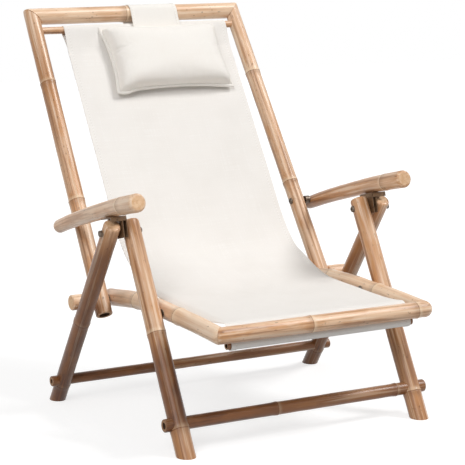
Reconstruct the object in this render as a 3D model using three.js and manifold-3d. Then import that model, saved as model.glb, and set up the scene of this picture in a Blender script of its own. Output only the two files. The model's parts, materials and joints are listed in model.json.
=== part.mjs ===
// Folding bamboo recliner with a canvas sling and a head pillow, in millimetres.
// X runs across the chair, +Y to the rear and +Z up. Left is the -X side, seen from the front.
// The feet stand on Z = 0 and the origin is under the middle of the whole chair.
import * as THREE from 'three';
import { mergeVertices } from 'three/addons/utils/BufferGeometryUtils.js';
import Module from 'manifold-3d';

const wasm = await Module();
wasm.setup();

const DEG = Math.PI / 180;
const ACROSS = new THREE.Vector3(1, 0, 0);
const UPWARD = new THREE.Vector3(0, 0, 1);
const SIDES = { left: -1, right: 1 };

// Folding linkage: legs, arms, rails and poles turn on four bolts at the corners of a parallelogram.
const PIVOT_HEIGHT = 456;
const LINK_LENGTH = 200;
const LINK_TILT = 30.5 * DEG;
const LINK_SPAN = 278.6;
const LINK_TOP_ANGLE = 3.7 * DEG;
const FRONT_LEG_TILT = 28.9 * DEG;
const POLE_TILT = 33.5 * DEG;
const POLE_LEAN_ANGLE = 1.5 * DEG;

// Widths between the members' centre lines.
const FRONT_LEG_SPACING = 611;
const ARM_SPACING = 696;

// Bamboo culms.
const PEG_DIAMETER = 36.5;
const LEG_FOOT_DIAMETER = 43;
const LEG_TOP_DIAMETER = 41;
const LEG_OVERHANG = 24;
const REAR_FOOT_DIAMETER = 37.5;
const REAR_TOP_DIAMETER = 40;
const POLE_FOOT_DIAMETER = 39.5;
const POLE_TOP_DIAMETER = 37.5;
const POLE_TAIL = 42;
const POLE_REACH = 762;
const TOP_BAR_DIAMETER = 41;
const RAIL_REAR_DIAMETER = 41;
const RAIL_FRONT_DIAMETER = 38;
const RAIL_TAIL = 32;
const RAIL_ARCH = 7.2;
const RAIL_FRONT_ARCH = 1.5;
const FRONT_BAR_DIAMETER = 37;
const SEAT_REACH = 329;
const SEAT_FRONT_HEIGHT = 277;
const FRONT_STRETCHER_DIAMETER = 29;
const FRONT_STRETCHER_HEIGHT = 63;
const FRONT_STRETCHER_STUB = 14;
const REAR_STRETCHER_DIAMETER = 25;
const REAR_STRETCHER_HEIGHT = 57;
const REAR_STRETCHER_STUB = 12;
const ARM_FRONT_DIAMETER = 42;
const ARM_REAR_DIAMETER = 32;
const ARM_REACH = 122;
const ARM_RISE = 84;
const ARM_ARCH = 5.5;
const ARM_TAIL = 28;
const ARM_BOLT_RISE = 7;
const CULM_WALL = 7;
const CULM_BORE_DEPTH = 26;
const CULM_EDGE = 2.5;
const NODE_SWELL = 1.3;
const NODE_HALF_WIDTH = 6;
const CULM_FACETS = 16;
const ROUND_END_STEPS = 4;
const BENT_CULM_RINGS = 9;
const LOWER_LEG_NODE_SHARES = [0.24, 0.875];
const UPPER_LEG_NODE_SHARE = 0.66;
const REAR_NODE_SHARES = [0.14, 0.49];
const POLE_NODE_SHARES = [0.349, 0.727];
const TOP_BAR_NODE_SHARES = [0.448];
const FRONT_BAR_NODE_SHARES = [0.43, 0.925];
const FRONT_STRETCHER_NODE_SHARES = [0.41, 0.88];
const REAR_STRETCHER_NODE_SHARES = [0.37];
const RAIL_NODE_SHARES = [0.28, 0.64];
const ARM_NODE_SHARES = [0.17];
const RAIL_ARCH_SHARES = [[0.4, 1], [0.78, 0.68]];
const RAIL_FRONT_ARCH_SHARES = [[0.5, 1]];
const ARM_ARCH_SHARES = [[0.14, 0.5], [0.32, 0.9], [0.5, 1], [0.68, 0.95], [0.85, 0.6]];

// Canvas rods, sling, pillow and strap.
const ROD_DIAMETER = 18;
const ROD_WALL = 4;
const TOP_ROD_DROP = 41;
const ROD_SOCKET_DEPTH = 12;
const FRONT_ROD_STUB = 8;
const FRONT_ROD_ANGLE = 150 * DEG;
const CANVAS_SIDE_GAP = 11;
const CANVAS_TOP_SHIFT = 18;
const CANVAS_THICKNESS = 2;
const SLEEVE_THICKNESS = 1.6;
const HIP_RISE = 78;
const HIP_OFFSET = 7;
const HIP_RADIUS = 62;
const THIGH_REACH = 133;
const THIGH_RISE = 40;
const BEND_REACH = 105;
const SEAT_SAG = 2;
const SLING_TURN_RADIUS = 16;
const CROSS_SAG = 12;
const FOLD_DEPTH = 1.2;
const CANVAS_FOLDS = 2;
const SLING_STEPS_ACROSS = 10;
const SLING_STEPS_ALONG = 9;
const PILLOW_WIDTH = 322;
const PILLOW_HEIGHT = 184;
const PILLOW_CROWN = 50;
const PILLOW_BACK_CROWN = 9;
const PILLOW_SEAM = 4;
const PILLOW_DRAW_IN = 11;
const PILLOW_SHIFT = 44;
const PILLOW_TOP_DROP = -3;
const PILLOW_SETTLE = 1.5;
const PILLOW_STEPS_ACROSS = 14;
const PILLOW_STEPS_UP = 10;
const STRAP_WIDTH = 132;
const STRAP_THICKNESS = 2.4;
const STRAP_TAIL = 105;
const STRAP_ARC_STEPS = 6;
const STRAP_STEPS_ACROSS = 3;
const STRAP_STEPS_ALONG = 40;

// Steel fittings.
const BOLT_DIAMETER = 8;
const BOLT_HEAD_DIAMETER = 19;
const BOLT_HEAD_HEIGHT = 5;
const NUT_WIDTH = 14;
const NUT_THICKNESS = 6;
const WASHER_DIAMETER = 20;
const WASHER_THICKNESS = 2;
const SCREW_DEPTH = 30;
const BRACKET_WIDTH = 11.4;
const BRACKET_LENGTH = 55;
const BRACKET_SHEET = 2;
const BRACKET_BELOW_BOLT = 14;
const BRACKET_LIP = 11;
const PLATE_OVERHANG = 17;
const BRACKET_SCREW_DIAMETER = 4;
const BRACKET_SCREW_HEAD = 8;
const BRACKET_SCREW_HEAD_HEIGHT = 2;
const BRACKET_SCREW_DEPTH = 16;
const BRACKET_SCREW_PITCH = 36;
const FITTING_FACETS = 12;
const DOME_STEPS = 3;

// Clearance between neighbours, and the overrun that lets a cut pass right through.
const GAP = 0.3;
const RUNNING_GAP = 0.4;
const OVERRUN = 8;
const CUT_SPACE = 3000;

// Rounds of trial that settle a value to far less than a clearance.
const SEARCH_STEPS = 40;

// Materials.

function matte(color, roughness) {
  return new THREE.MeshStandardMaterial({ color, roughness, metalness: 0, flatShading: true });
}

function metal(color, roughness) {
  return new THREE.MeshStandardMaterial({ color, roughness, metalness: 0.9, flatShading: true });
}

const bamboo = matte('#cf9f6b', 0.45);
const darkBamboo = matte('#a8774b', 0.5);
const canvas = matte('#f1efea', 0.95);
const pillowCotton = matte('#f0e4da', 0.95);
const bracketSteel = metal('#4a3a31', 0.5);
const zincSteel = metal('#b9b6ad', 0.3);

// Solid geometry helpers.

function closed(geometry) {
  geometry.deleteAttribute('normal');
  geometry.deleteAttribute('uv');
  const merged = mergeVertices(geometry);
  const index = merged.index.array;
  const kept = [];
  for (let i = 0; i < index.length; i += 3) {
    const [a, b, c] = index.subarray(i, i + 3);
    if (a !== b && b !== c && c !== a) kept.push(a, b, c);
  }
  merged.setIndex(kept);
  return merged;
}

function toSolid(geometry) {
  const merged = closed(geometry.clone());
  return new wasm.Manifold(new wasm.Mesh({
    numProp: 3,
    vertProperties: new Float32Array(merged.attributes.position.array),
    triVerts: new Uint32Array(merged.index.array),
  }));
}

function toGeometry(solid) {
  const mesh = solid.getMesh();
  const geometry = new THREE.BufferGeometry();
  geometry.setAttribute('position', new THREE.BufferAttribute(mesh.vertProperties, 3));
  geometry.setIndex(Array.from(mesh.triVerts));
  return geometry;
}

function cut(geometry, ...tools) {
  let solid = toSolid(geometry);
  for (const tool of tools) solid = solid.subtract(toSolid(tool));
  return toGeometry(solid);
}

function join(first, ...others) {
  let solid = toSolid(first);
  for (const other of others) solid = solid.add(toSolid(other));
  return toGeometry(solid);
}

// Keeps the part of a geometry on the side of a plane that the normal points to.
function keepBeyond(geometry, point, normal) {
  const space = new THREE.BoxGeometry(CUT_SPACE, CUT_SPACE, CUT_SPACE);
  space.translate(0, 0, CUT_SPACE / 2);
  space.applyQuaternion(new THREE.Quaternion().setFromUnitVectors(UPWARD, normal));
  space.translate(point.x, point.y, point.z);
  return toGeometry(toSolid(geometry).intersect(toSolid(space)));
}

function move(geometry, x, y, z) {
  return geometry.translate(x, y, z);
}

// Turns a geometry whose axis is Y so that its axis is Z, or X.
function standUp(geometry) {
  return geometry.rotateX(90 * DEG);
}

function layAcross(geometry) {
  return geometry.rotateZ(-90 * DEG);
}

// A round hole along X whose flats stay clear of the radius that passes through it.
function holeAcross(radius, fromX, toX, y, z, facets = CULM_FACETS) {
  const outer = radius / Math.cos(Math.PI / facets);
  const hole = layAcross(new THREE.CylinderGeometry(outer, outer, Math.abs(toX - fromX), facets));
  return move(hole, (fromX + toX) / 2, y, z);
}

function boltHole(fromX, toX, y, z) {
  return holeAcross(boltHoleRadius, fromX, toX, y, z, FITTING_FACETS);
}

function named(name, geometry, material) {
  const mesh = new THREE.Mesh(geometry, material);
  mesh.name = name;
  return mesh;
}

function leaning(tilt, length) {
  return new THREE.Vector3(0, Math.sin(tilt) * length, Math.cos(tilt) * length);
}

// Radius of a tapered culm, by the distance from its start.
function taper(startDiameter, endDiameter, length) {
  return (distance) => THREE.MathUtils.lerp(startDiameter, endDiameter, distance / length) / 2;
}

// Bamboo culms.

function culmStart(radius, bore) {
  const edge = [[radius - CULM_EDGE, 0], [radius, CULM_EDGE]];
  if (!bore) return [[0, 0], ...edge];
  return [[0, bore.depth], [radius - bore.wall, bore.depth], [radius - bore.wall, 0], ...edge];
}

// A rounded end, for a culm that meets another in a mitre.
function roundStart(radius) {
  const points = [];
  for (let i = 0; i <= ROUND_END_STEPS; i += 1) {
    const angle = 90 * DEG * i / ROUND_END_STEPS;
    points.push([radius * Math.sin(angle), radius * (1 - Math.cos(angle))]);
  }
  return points;
}

function culmStations({ length, radius, nodes, rings }) {
  const plain = [];
  for (let i = 1; i < rings; i += 1) plain.push(length * i / rings);
  const free = plain.filter((z) => nodes.every((node) => Math.abs(node - z) > NODE_HALF_WIDTH * 2));
  const stations = free.map((z) => [radius(z), z]);
  for (const node of nodes) {
    stations.push([radius(node), node - NODE_HALF_WIDTH]);
    stations.push([radius(node) + NODE_SWELL, node]);
    stations.push([radius(node), node + NODE_HALF_WIDTH]);
  }
  return stations.sort((a, b) => a[1] - b[1]);
}

function spread(shares, length) {
  return shares.map((share) => share * length);
}

// One culm along +Z from 0, with swollen nodes, eased ends and, where it is open, a bored end.
function culm({
  length, radius, nodes = [], startBore, endBore, roundEnds = [], rings = 1, facets = CULM_FACETS,
}) {
  const start = roundEnds.includes('start') ? roundStart(radius(0)) : culmStart(radius(0), startBore);
  const far = roundEnds.includes('end') ? roundStart(radius(length)) : culmStart(radius(length), endBore);
  const end = far.map(([r, z]) => [r, length - z]).reverse();
  const middle = culmStations({ length, radius, nodes, rings });
  const outline = [...start, ...middle, ...end].map(([r, z]) => new THREE.Vector2(r, z));
  const lathe = new THREE.LatheGeometry(outline, facets);
  return lathe.rotateX(90 * DEG);
}

// Carries a culm that runs along Z over to a curve in a plane of constant X.
function bend(geometry, curve, length) {
  const position = geometry.attributes.position;
  for (let i = 0; i < position.count; i += 1) {
    const share = THREE.MathUtils.clamp(position.getZ(i) / length, 0, 1);
    const tangent = curve.getTangentAt(share);
    const normal = new THREE.Vector3().crossVectors(tangent, ACROSS);
    const point = curve.getPointAt(share).addScaledVector(normal, position.getY(i));
    position.setXYZ(i, position.getX(i), point.y, point.z);
  }
  return geometry;
}

function archedCurve(from, to, height, shares) {
  const chord = to.clone().sub(from);
  const normal = new THREE.Vector3().crossVectors(chord, ACROSS).normalize();
  if (normal.z < 0) normal.negate();
  const points = shares.map(([along, rise]) => from.clone()
    .addScaledVector(chord, along)
    .addScaledVector(normal, rise * height));
  return new THREE.CatmullRomCurve3([from, ...points, to]);
}

// The share of a curve that lies nearest to a point.
function nearestShare(curve, point) {
  const distanceAt = (share) => curve.getPointAt(share).distanceTo(point);
  let from = 0;
  let to = 1;
  for (let i = 0; i < SEARCH_STEPS; i += 1) {
    const third = (to - from) / 3;
    if (distanceAt(from + third) < distanceAt(to - third)) to -= third;
    else from += third;
  }
  return (from + to) / 2;
}

// The four bolts of the linkage, with the leg pivot over Y = 0.

const legPivot = new THREE.Vector3(0, 0, PIVOT_HEIGHT);
const armPivot = legPivot.clone().add(leaning(90 * DEG + LINK_TOP_ANGLE, LINK_SPAN));
const seatPivot = legPivot.clone().sub(leaning(LINK_TILT, LINK_LENGTH));
const backPivot = armPivot.clone().sub(leaning(LINK_TILT, LINK_LENGTH));

// A culm that tilts differently from the bolts' line runs midway between them.
function axisOffset(tilt) {
  return -Math.sin(LINK_TILT - tilt) * LINK_LENGTH / 2;
}

function floorCutPlane(tilt) {
  const normal = UPWARD.clone().applyAxisAngle(ACROSS, tilt);
  const point = UPWARD.clone().multiplyScalar(-PIVOT_HEIGHT).applyAxisAngle(ACROSS, tilt);
  return { point, normal };
}

function legSpan(tilt, footDiameter) {
  return PIVOT_HEIGHT / Math.cos(tilt) + footDiameter * Math.tan(Math.abs(tilt));
}

// The rear legs lean against the pegs on the back pivot.
function findRearLegTilt() {
  const reach = backPivot.distanceTo(legPivot);
  const fromPlumb = Math.atan2(backPivot.y, legPivot.z - backPivot.z);
  let tilt = fromPlumb;
  for (let i = 0; i < SEARCH_STEPS; i += 1) {
    const below = legSpan(tilt, REAR_FOOT_DIAMETER);
    const radius = taper(REAR_FOOT_DIAMETER, REAR_TOP_DIAMETER, below + LEG_OVERHANG);
    const pegAt = below - Math.cos(fromPlumb - tilt) * reach;
    tilt = fromPlumb - Math.asin((PEG_DIAMETER / 2 + GAP + radius(pegAt)) / reach);
  }
  return tilt;
}

const frontLegBelow = legSpan(FRONT_LEG_TILT, LEG_FOOT_DIAMETER);
const frontLegLength = frontLegBelow + LEG_OVERHANG;
const frontLegRadius = taper(LEG_FOOT_DIAMETER, LEG_TOP_DIAMETER, frontLegLength);
const rearLegTilt = findRearLegTilt();
const rearLegBelow = legSpan(rearLegTilt, REAR_FOOT_DIAMETER);
const rearLegLength = rearLegBelow + LEG_OVERHANG;
const rearLegRadius = taper(REAR_FOOT_DIAMETER, REAR_TOP_DIAMETER, rearLegLength);
const poleLength = POLE_TAIL + POLE_REACH + TOP_BAR_DIAMETER;
const poleRadius = taper(POLE_FOOT_DIAMETER, POLE_TOP_DIAMETER, poleLength);

const legX = FRONT_LEG_SPACING / 2;
const legRadiusAtPivot = frontLegRadius(frontLegBelow);
const legRadiusAtSeat = frontLegRadius(frontLegBelow - LINK_LENGTH);
const rearRadiusAtPivot = rearLegRadius(rearLegBelow);
const washerSpace = WASHER_THICKNESS + 2 * GAP;
const railOuterX = legX - legRadiusAtSeat - washerSpace;
const railX = railOuterX - RAIL_REAR_DIAMETER / 2;
const canvasWidth = 2 * (railX - RAIL_REAR_DIAMETER / 2 - CANVAS_SIDE_GAP);
const poleX = railOuterX + washerSpace + poleRadius(POLE_TAIL);
const bracketInnerX = legX + legRadiusAtPivot + GAP;
const bracketOuterX = bracketInnerX + BRACKET_WIDTH;
const rearLegX = bracketOuterX + GAP + rearRadiusAtPivot;
const armX = ARM_SPACING / 2;
const boltHoleRadius = BOLT_DIAMETER / 2 + RUNNING_GAP;

// Front leg frame: local origin at the leg pivot, legs along local Z.

const frontAxisY = axisOffset(FRONT_LEG_TILT);
const frontStretcherZ = (FRONT_STRETCHER_HEIGHT - PIVOT_HEIGHT) / Math.cos(FRONT_LEG_TILT);
const seatPivotInLeg = leaning(LINK_TILT - FRONT_LEG_TILT, -LINK_LENGTH);
const legBelowSeat = frontLegBelow - LINK_LENGTH;
const legNodes = [
  ...spread(LOWER_LEG_NODE_SHARES, legBelowSeat),
  legBelowSeat + UPPER_LEG_NODE_SHARE * LINK_LENGTH,
];

function frontLeg(side) {
  const foot = floorCutPlane(FRONT_LEG_TILT);
  const body = culm({ length: frontLegLength, radius: frontLegRadius, nodes: legNodes });
  move(body, 0, frontAxisY, -frontLegBelow);
  const through = legRadiusAtPivot + OVERRUN;
  const stretcherHole = FRONT_STRETCHER_DIAMETER / 2 + GAP;
  const innerX = -side * (legRadiusAtSeat + OVERRUN);
  const socketX = -side * (legRadiusAtSeat - SCREW_DEPTH - RUNNING_GAP);
  const holes = [
    boltHole(-through, through, 0, 0),
    boltHole(innerX, socketX, seatPivotInLeg.y, seatPivotInLeg.z),
    holeAcross(stretcherHole, -LEG_FOOT_DIAMETER, LEG_FOOT_DIAMETER, frontAxisY, frontStretcherZ),
  ];
  return keepBeyond(cut(body, ...holes), foot.point, foot.normal);
}

function stretcher(halfLength, diameter, nodeShares, y, z) {
  const length = 2 * halfLength;
  const bore = { depth: CULM_BORE_DEPTH, wall: CULM_WALL };
  const radius = taper(diameter, diameter, length);
  const nodes = spread(nodeShares, length);
  const body = culm({ length, radius, nodes, startBore: bore, endBore: bore });
  return move(body.rotateY(90 * DEG), -halfLength, y, z);
}

// Steel fittings. A bolt's head lies on the -X side of X = 0 and its shank runs to +X.

function bolt(length, diameter = BOLT_DIAMETER, head = BOLT_HEAD_DIAMETER, rise = BOLT_HEAD_HEIGHT) {
  const dome = new THREE.QuadraticBezierCurve(
    new THREE.Vector2(0, -rise),
    new THREE.Vector2(head / 2, -rise),
    new THREE.Vector2(head / 2, 0),
  );
  const outline = [
    ...dome.getPoints(DOME_STEPS),
    new THREE.Vector2(diameter / 2, 0),
    new THREE.Vector2(diameter / 2, length),
    new THREE.Vector2(0, length),
  ];
  return layAcross(new THREE.LatheGeometry(outline, FITTING_FACETS));
}

function ringAcross(outerRadius, innerRadius, thickness) {
  const clear = innerRadius / Math.cos(Math.PI / FITTING_FACETS);
  const outline = [[clear, 0], [outerRadius, 0], [outerRadius, thickness], [clear, thickness], [clear, 0]];
  const points = outline.map(([r, x]) => new THREE.Vector2(r, x));
  return layAcross(new THREE.LatheGeometry(points, FITTING_FACETS));
}

function hexNut(thickness = NUT_THICKNESS) {
  const hexagon = new THREE.Shape();
  const corner = NUT_WIDTH / 2 / Math.cos(30 * DEG);
  hexagon.moveTo(corner, 0);
  for (let i = 1; i < 6; i += 1) {
    hexagon.lineTo(Math.cos(i * 60 * DEG) * corner, Math.sin(i * 60 * DEG) * corner);
  }
  const bore = new THREE.Path();
  bore.absarc(0, 0, BOLT_DIAMETER / 2 + RUNNING_GAP, 0, 360 * DEG, true);
  hexagon.holes.push(bore);
  const nut = new THREE.ExtrudeGeometry(hexagon, { depth: thickness, bevelEnabled: false, curveSegments: 6 });
  return nut.rotateY(90 * DEG);
}

// Places a fitting that is drawn for the right side. The left one is turned half round.
function fitting(name, side, geometry, x, y, z, material = zincSteel) {
  const mesh = named(name, geometry, material);
  mesh.position.set(side * x, y, z);
  if (side < 0) mesh.rotation.z = 180 * DEG;
  return mesh;
}

const pivotHeadX = legX - legRadiusAtPivot - GAP;
const pivotNutX = rearLegX + rearRadiusAtPivot + GAP;
const pivotBoltLength = pivotNutX + NUT_THICKNESS + GAP - pivotHeadX;
const cheekSpace = BRACKET_WIDTH - 2 * BRACKET_SHEET;
const pivotWasher = () => ringAcross(WASHER_DIAMETER / 2, BOLT_DIAMETER / 2 + GAP, WASHER_THICKNESS);

function frontFrame() {
  const frame = new THREE.Group();
  frame.position.copy(legPivot);
  frame.rotation.x = -FRONT_LEG_TILT;
  const halfLength = legX + legRadiusAtSeat + FRONT_STRETCHER_STUB;
  const bar = stretcher(halfLength, FRONT_STRETCHER_DIAMETER, FRONT_STRETCHER_NODE_SHARES,
    frontAxisY, frontStretcherZ);
  frame.add(named('front_stretcher', bar, darkBamboo));
  const lockNutX = bracketInnerX + BRACKET_SHEET + GAP;
  const screwX = railX - railRadiusAt(seatPivot.y) - GAP;
  const screwLength = legX - legRadiusAtSeat + SCREW_DEPTH - screwX;
  const { y, z } = seatPivotInLeg;
  for (const [word, side] of Object.entries(SIDES)) {
    const leg = named(`front_leg_${word}`, frontLeg(side), bamboo);
    leg.position.x = side * legX;
    frame.add(leg);
    const lockNut = hexNut(cheekSpace - 2 * GAP);
    frame.add(fitting(`leg_pivot_bolt_${word}`, side, bolt(pivotBoltLength), pivotHeadX, 0, 0));
    frame.add(fitting(`leg_pivot_nut_${word}`, side, hexNut(), pivotNutX, 0, 0));
    frame.add(fitting(`leg_pivot_spacer_${word}`, side, lockNut, lockNutX, 0, 0));
    frame.add(fitting(`seat_pivot_screw_${word}`, side, bolt(screwLength), screwX, y, z));
    frame.add(fitting(`seat_pivot_washer_${word}`, side, pivotWasher(), railOuterX + GAP, y, z));
  }
  return frame;
}

// Rear leg frame: local origin at the leg pivot, legs along local Z.

const rearStretcherZ = (REAR_STRETCHER_HEIGHT - PIVOT_HEIGHT) / Math.cos(rearLegTilt);

function rearLeg() {
  const foot = floorCutPlane(-rearLegTilt);
  const nodes = spread(REAR_NODE_SHARES, rearLegLength);
  const body = culm({ length: rearLegLength, radius: rearLegRadius, nodes });
  move(body, 0, 0, -rearLegBelow);
  const through = rearRadiusAtPivot + OVERRUN;
  const stretcherHole = REAR_STRETCHER_DIAMETER / 2 + GAP;
  const holes = [
    boltHole(-through, through, 0, 0),
    holeAcross(stretcherHole, -REAR_FOOT_DIAMETER, REAR_FOOT_DIAMETER, 0, rearStretcherZ),
  ];
  return keepBeyond(cut(body, ...holes), foot.point, foot.normal);
}

function rearFrame() {
  const frame = new THREE.Group();
  frame.position.copy(legPivot);
  frame.rotation.x = rearLegTilt;
  const halfLength = rearLegX + rearRadiusAtPivot + REAR_STRETCHER_STUB;
  const bar = stretcher(halfLength, REAR_STRETCHER_DIAMETER, REAR_STRETCHER_NODE_SHARES, 0, rearStretcherZ);
  frame.add(named('rear_stretcher', bar, darkBamboo));
  for (const [word, side] of Object.entries(SIDES)) {
    const leg = named(`rear_leg_${word}`, rearLeg(), darkBamboo);
    leg.position.x = side * rearLegX;
    frame.add(leg);
  }
  return frame;
}

// Armrest frame: local origin at the leg pivot, upright.

const armFrom = new THREE.Vector3(0, -ARM_REACH, ARM_RISE);
const armPivotInArm = armPivot.clone().sub(legPivot);
const armUnderBolt = armPivotInArm.clone().sub(new THREE.Vector3(0, 0, ARM_BOLT_RISE));
const armRun = armUnderBolt.clone().sub(armFrom).normalize();
const armTo = armUnderBolt.clone().addScaledVector(armRun, ARM_TAIL);
const armCurve = archedCurve(armFrom, armTo, ARM_ARCH, ARM_ARCH_SHARES);
const armLength = armCurve.getLength();
const armRadius = taper(ARM_FRONT_DIAMETER, ARM_REAR_DIAMETER, armLength);
const armRadiusAtPivot = armRadius(nearestShare(armCurve, armPivotInArm) * armLength);
const bracketShare = nearestShare(armCurve, new THREE.Vector3());
const bracketPlace = armCurve.getPointAt(bracketShare);
const armRadiusAtBracket = armRadius(bracketShare * armLength - BRACKET_LENGTH / 2);
const bracketTop = bracketPlace.length() - armRadiusAtBracket - GAP;
const bracketTilt = -Math.atan2(bracketPlace.y, bracketPlace.z);
const plateEdge = armX - bracketInnerX + PLATE_OVERHANG;
const screwRows = { front: -BRACKET_SCREW_PITCH / 2, rear: BRACKET_SCREW_PITCH / 2 };

// Swaps X for -X and turns the faces to point out again.
function mirrored(geometry) {
  geometry.scale(-1, 1, 1);
  const index = Array.from(geometry.index.array);
  for (let i = 0; i < index.length; i += 3) {
    [index[i], index[i + 1]] = [index[i + 1], index[i]];
  }
  geometry.setIndex(index);
  return geometry;
}

// A steel channel with a plate under the armrest. Its local origin is on its bolt, at its inner cheek.
function armBracket(side) {
  const under = bracketTop - BRACKET_SHEET;
  const inner = BRACKET_WIDTH - BRACKET_SHEET;
  const corners = [
    [0, -BRACKET_BELOW_BOLT], [BRACKET_SHEET, -BRACKET_BELOW_BOLT], [BRACKET_SHEET, under],
    [inner, under], [inner, -BRACKET_BELOW_BOLT], [BRACKET_WIDTH, -BRACKET_BELOW_BOLT],
    [BRACKET_WIDTH, under], [plateEdge, under], [plateEdge, bracketTop], [0, bracketTop],
  ];
  const outline = new THREE.Shape(corners.map(([x, z]) => new THREE.Vector2(x, z)));
  const channel = new THREE.ExtrudeGeometry(outline, { depth: BRACKET_LENGTH, bevelEnabled: false });
  move(standUp(channel), 0, BRACKET_LENGTH / 2, 0);
  const lip = new THREE.BoxGeometry(plateEdge, BRACKET_SHEET, BRACKET_LIP);
  move(lip, plateEdge / 2, (BRACKET_SHEET - BRACKET_LENGTH) / 2, bracketTop - BRACKET_LIP / 2);
  const holes = Object.values(screwRows).map((y) => {
    const radius = BRACKET_SCREW_DIAMETER / 2 + RUNNING_GAP;
    const hole = new THREE.CylinderGeometry(radius, radius, BRACKET_LIP, FITTING_FACETS);
    return move(standUp(hole), armX - bracketInnerX, y, bracketTop);
  });
  holes.push(boltHole(-OVERRUN, BRACKET_WIDTH + OVERRUN, 0, 0));
  const bracket = cut(join(channel, lip), ...holes);
  return side < 0 ? mirrored(bracket) : bracket;
}

// A bracket screw's hole in the armrest, in the frame of the leg pivot.
function armScrewHole(y) {
  const radius = BRACKET_SCREW_DIAMETER / 2 + RUNNING_GAP;
  const depth = BRACKET_SCREW_DEPTH + 2 * OVERRUN;
  const hole = new THREE.CylinderGeometry(radius, radius, depth, FITTING_FACETS);
  move(standUp(hole), 0, y, bracketTop - OVERRUN + depth / 2);
  return hole.rotateX(bracketTilt);
}

function armrest(side) {
  const nodes = spread(ARM_NODE_SHARES, armLength);
  const body = culm({ length: armLength, radius: armRadius, nodes, rings: BENT_CULM_RINGS });
  bend(body, armCurve, armLength);
  const innerX = -side * (armRadiusAtPivot + OVERRUN);
  const socketX = -side * (armRadiusAtPivot - SCREW_DEPTH / 2 - RUNNING_GAP);
  const holes = Object.values(screwRows).map(armScrewHole);
  return cut(body, boltHole(innerX, socketX, armPivotInArm.y, armPivotInArm.z), ...holes);
}

function bracketScrew() {
  const length = BRACKET_SHEET + BRACKET_SCREW_DEPTH;
  const screw = bolt(length, BRACKET_SCREW_DIAMETER, BRACKET_SCREW_HEAD, BRACKET_SCREW_HEAD_HEIGHT);
  return screw.rotateY(-90 * DEG);
}

function armFrame(word, side) {
  const frame = new THREE.Group();
  frame.position.copy(legPivot);
  const arm = named(`armrest_${word}`, armrest(side), bamboo);
  arm.position.x = side * armX;
  frame.add(arm);
  const tilted = new THREE.Group();
  tilted.rotation.x = bracketTilt;
  frame.add(tilted);
  const bracket = named(`arm_bracket_${word}`, armBracket(side), bracketSteel);
  bracket.position.x = side * bracketInnerX;
  tilted.add(bracket);
  for (const [row, y] of Object.entries(screwRows)) {
    const screw = named(`bracket_screw_${row}_${word}`, bracketScrew(), zincSteel);
    screw.position.set(side * armX, y, bracketTop - BRACKET_SHEET - GAP);
    tilted.add(screw);
  }
  return frame;
}

// Seat frame: local origin at the back pivot, upright.

const railCorner = new THREE.Vector3(0, -SEAT_REACH, SEAT_FRONT_HEIGHT);
const cornerInSeat = railCorner.clone().sub(backPivot);
const seatPivotInSeat = seatPivot.clone().sub(backPivot);
const rearArch = archedCurve(new THREE.Vector3(), seatPivotInSeat, RAIL_ARCH, RAIL_ARCH_SHARES);
const frontArch = archedCurve(seatPivotInSeat, cornerInSeat, RAIL_FRONT_ARCH, RAIL_FRONT_ARCH_SHARES);
const railTail = rearArch.getTangentAt(0).multiplyScalar(-RAIL_TAIL);
const railTip = cornerInSeat.clone().addScaledVector(frontArch.getTangentAt(1), RAIL_FRONT_DIAMETER / 2);
const railCurve = new THREE.CatmullRomCurve3([
  railTail, ...rearArch.points, ...frontArch.points.slice(1), railTip,
]);
const railLength = railCurve.getLength();
const railRadius = taper(RAIL_REAR_DIAMETER, RAIL_FRONT_DIAMETER, railLength);

function railRadiusAt(y) {
  const fromTail = railTail.y - (y - backPivot.y);
  return railRadius(fromTail / (railTail.y - railTip.y) * railLength);
}

function mitreNormal(side) {
  return new THREE.Vector3(side, 1, 0).normalize();
}

function mitrePoint(side, offset) {
  const corner = new THREE.Vector3(side * railX, cornerInSeat.y, cornerInSeat.z);
  return corner.addScaledVector(mitreNormal(side), offset);
}

function seatRail(side) {
  const nodes = spread(RAIL_NODE_SHARES, railLength);
  const rings = BENT_CULM_RINGS;
  const body = culm({ length: railLength, radius: railRadius, nodes, roundEnds: ['end'], rings });
  bend(body, railCurve, railLength);
  const through = RAIL_REAR_DIAMETER;
  const { y, z } = seatPivotInSeat;
  const holed = cut(body, boltHole(-through, through, 0, 0), boltHole(-through, through, y, z));
  move(holed, side * railX, 0, 0);
  return keepBeyond(holed, mitrePoint(side, GAP / 2), mitreNormal(side));
}

function seatFrontBar() {
  const length = 2 * railX + FRONT_BAR_DIAMETER;
  const radius = taper(FRONT_BAR_DIAMETER, FRONT_BAR_DIAMETER, length);
  const nodes = spread(FRONT_BAR_NODE_SHARES, length);
  const body = culm({ length, radius, nodes, roundEnds: ['start', 'end'] });
  let bar = move(body.rotateY(90 * DEG), -length / 2, cornerInSeat.y, cornerInSeat.z);
  for (const side of Object.values(SIDES)) {
    bar = keepBeyond(bar, mitrePoint(side, -GAP / 2), mitreNormal(side).negate());
  }
  return bar;
}

function canvasRod(length) {
  const bore = { depth: CULM_BORE_DEPTH, wall: ROD_WALL };
  const radius = taper(ROD_DIAMETER, ROD_DIAMETER, length);
  const body = culm({ length, radius, startBore: bore, endBore: bore, facets: FITTING_FACETS });
  return move(body.rotateY(90 * DEG), -length / 2, 0, 0);
}

const sleeveInner = ROD_DIAMETER / 2 + GAP;
const sleeveOuter = sleeveInner / Math.cos(Math.PI / FITTING_FACETS) + SLEEVE_THICKNESS;
const frontRodReach = FRONT_BAR_DIAMETER / 2 + NODE_SWELL + GAP + sleeveOuter;
const frontRodInSeat = cornerInSeat.clone().add(leaning(FRONT_ROD_ANGLE, frontRodReach));

function canvasSleeve() {
  return move(ringAcross(sleeveOuter, sleeveInner, canvasWidth), -canvasWidth / 2, 0, 0);
}

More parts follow.
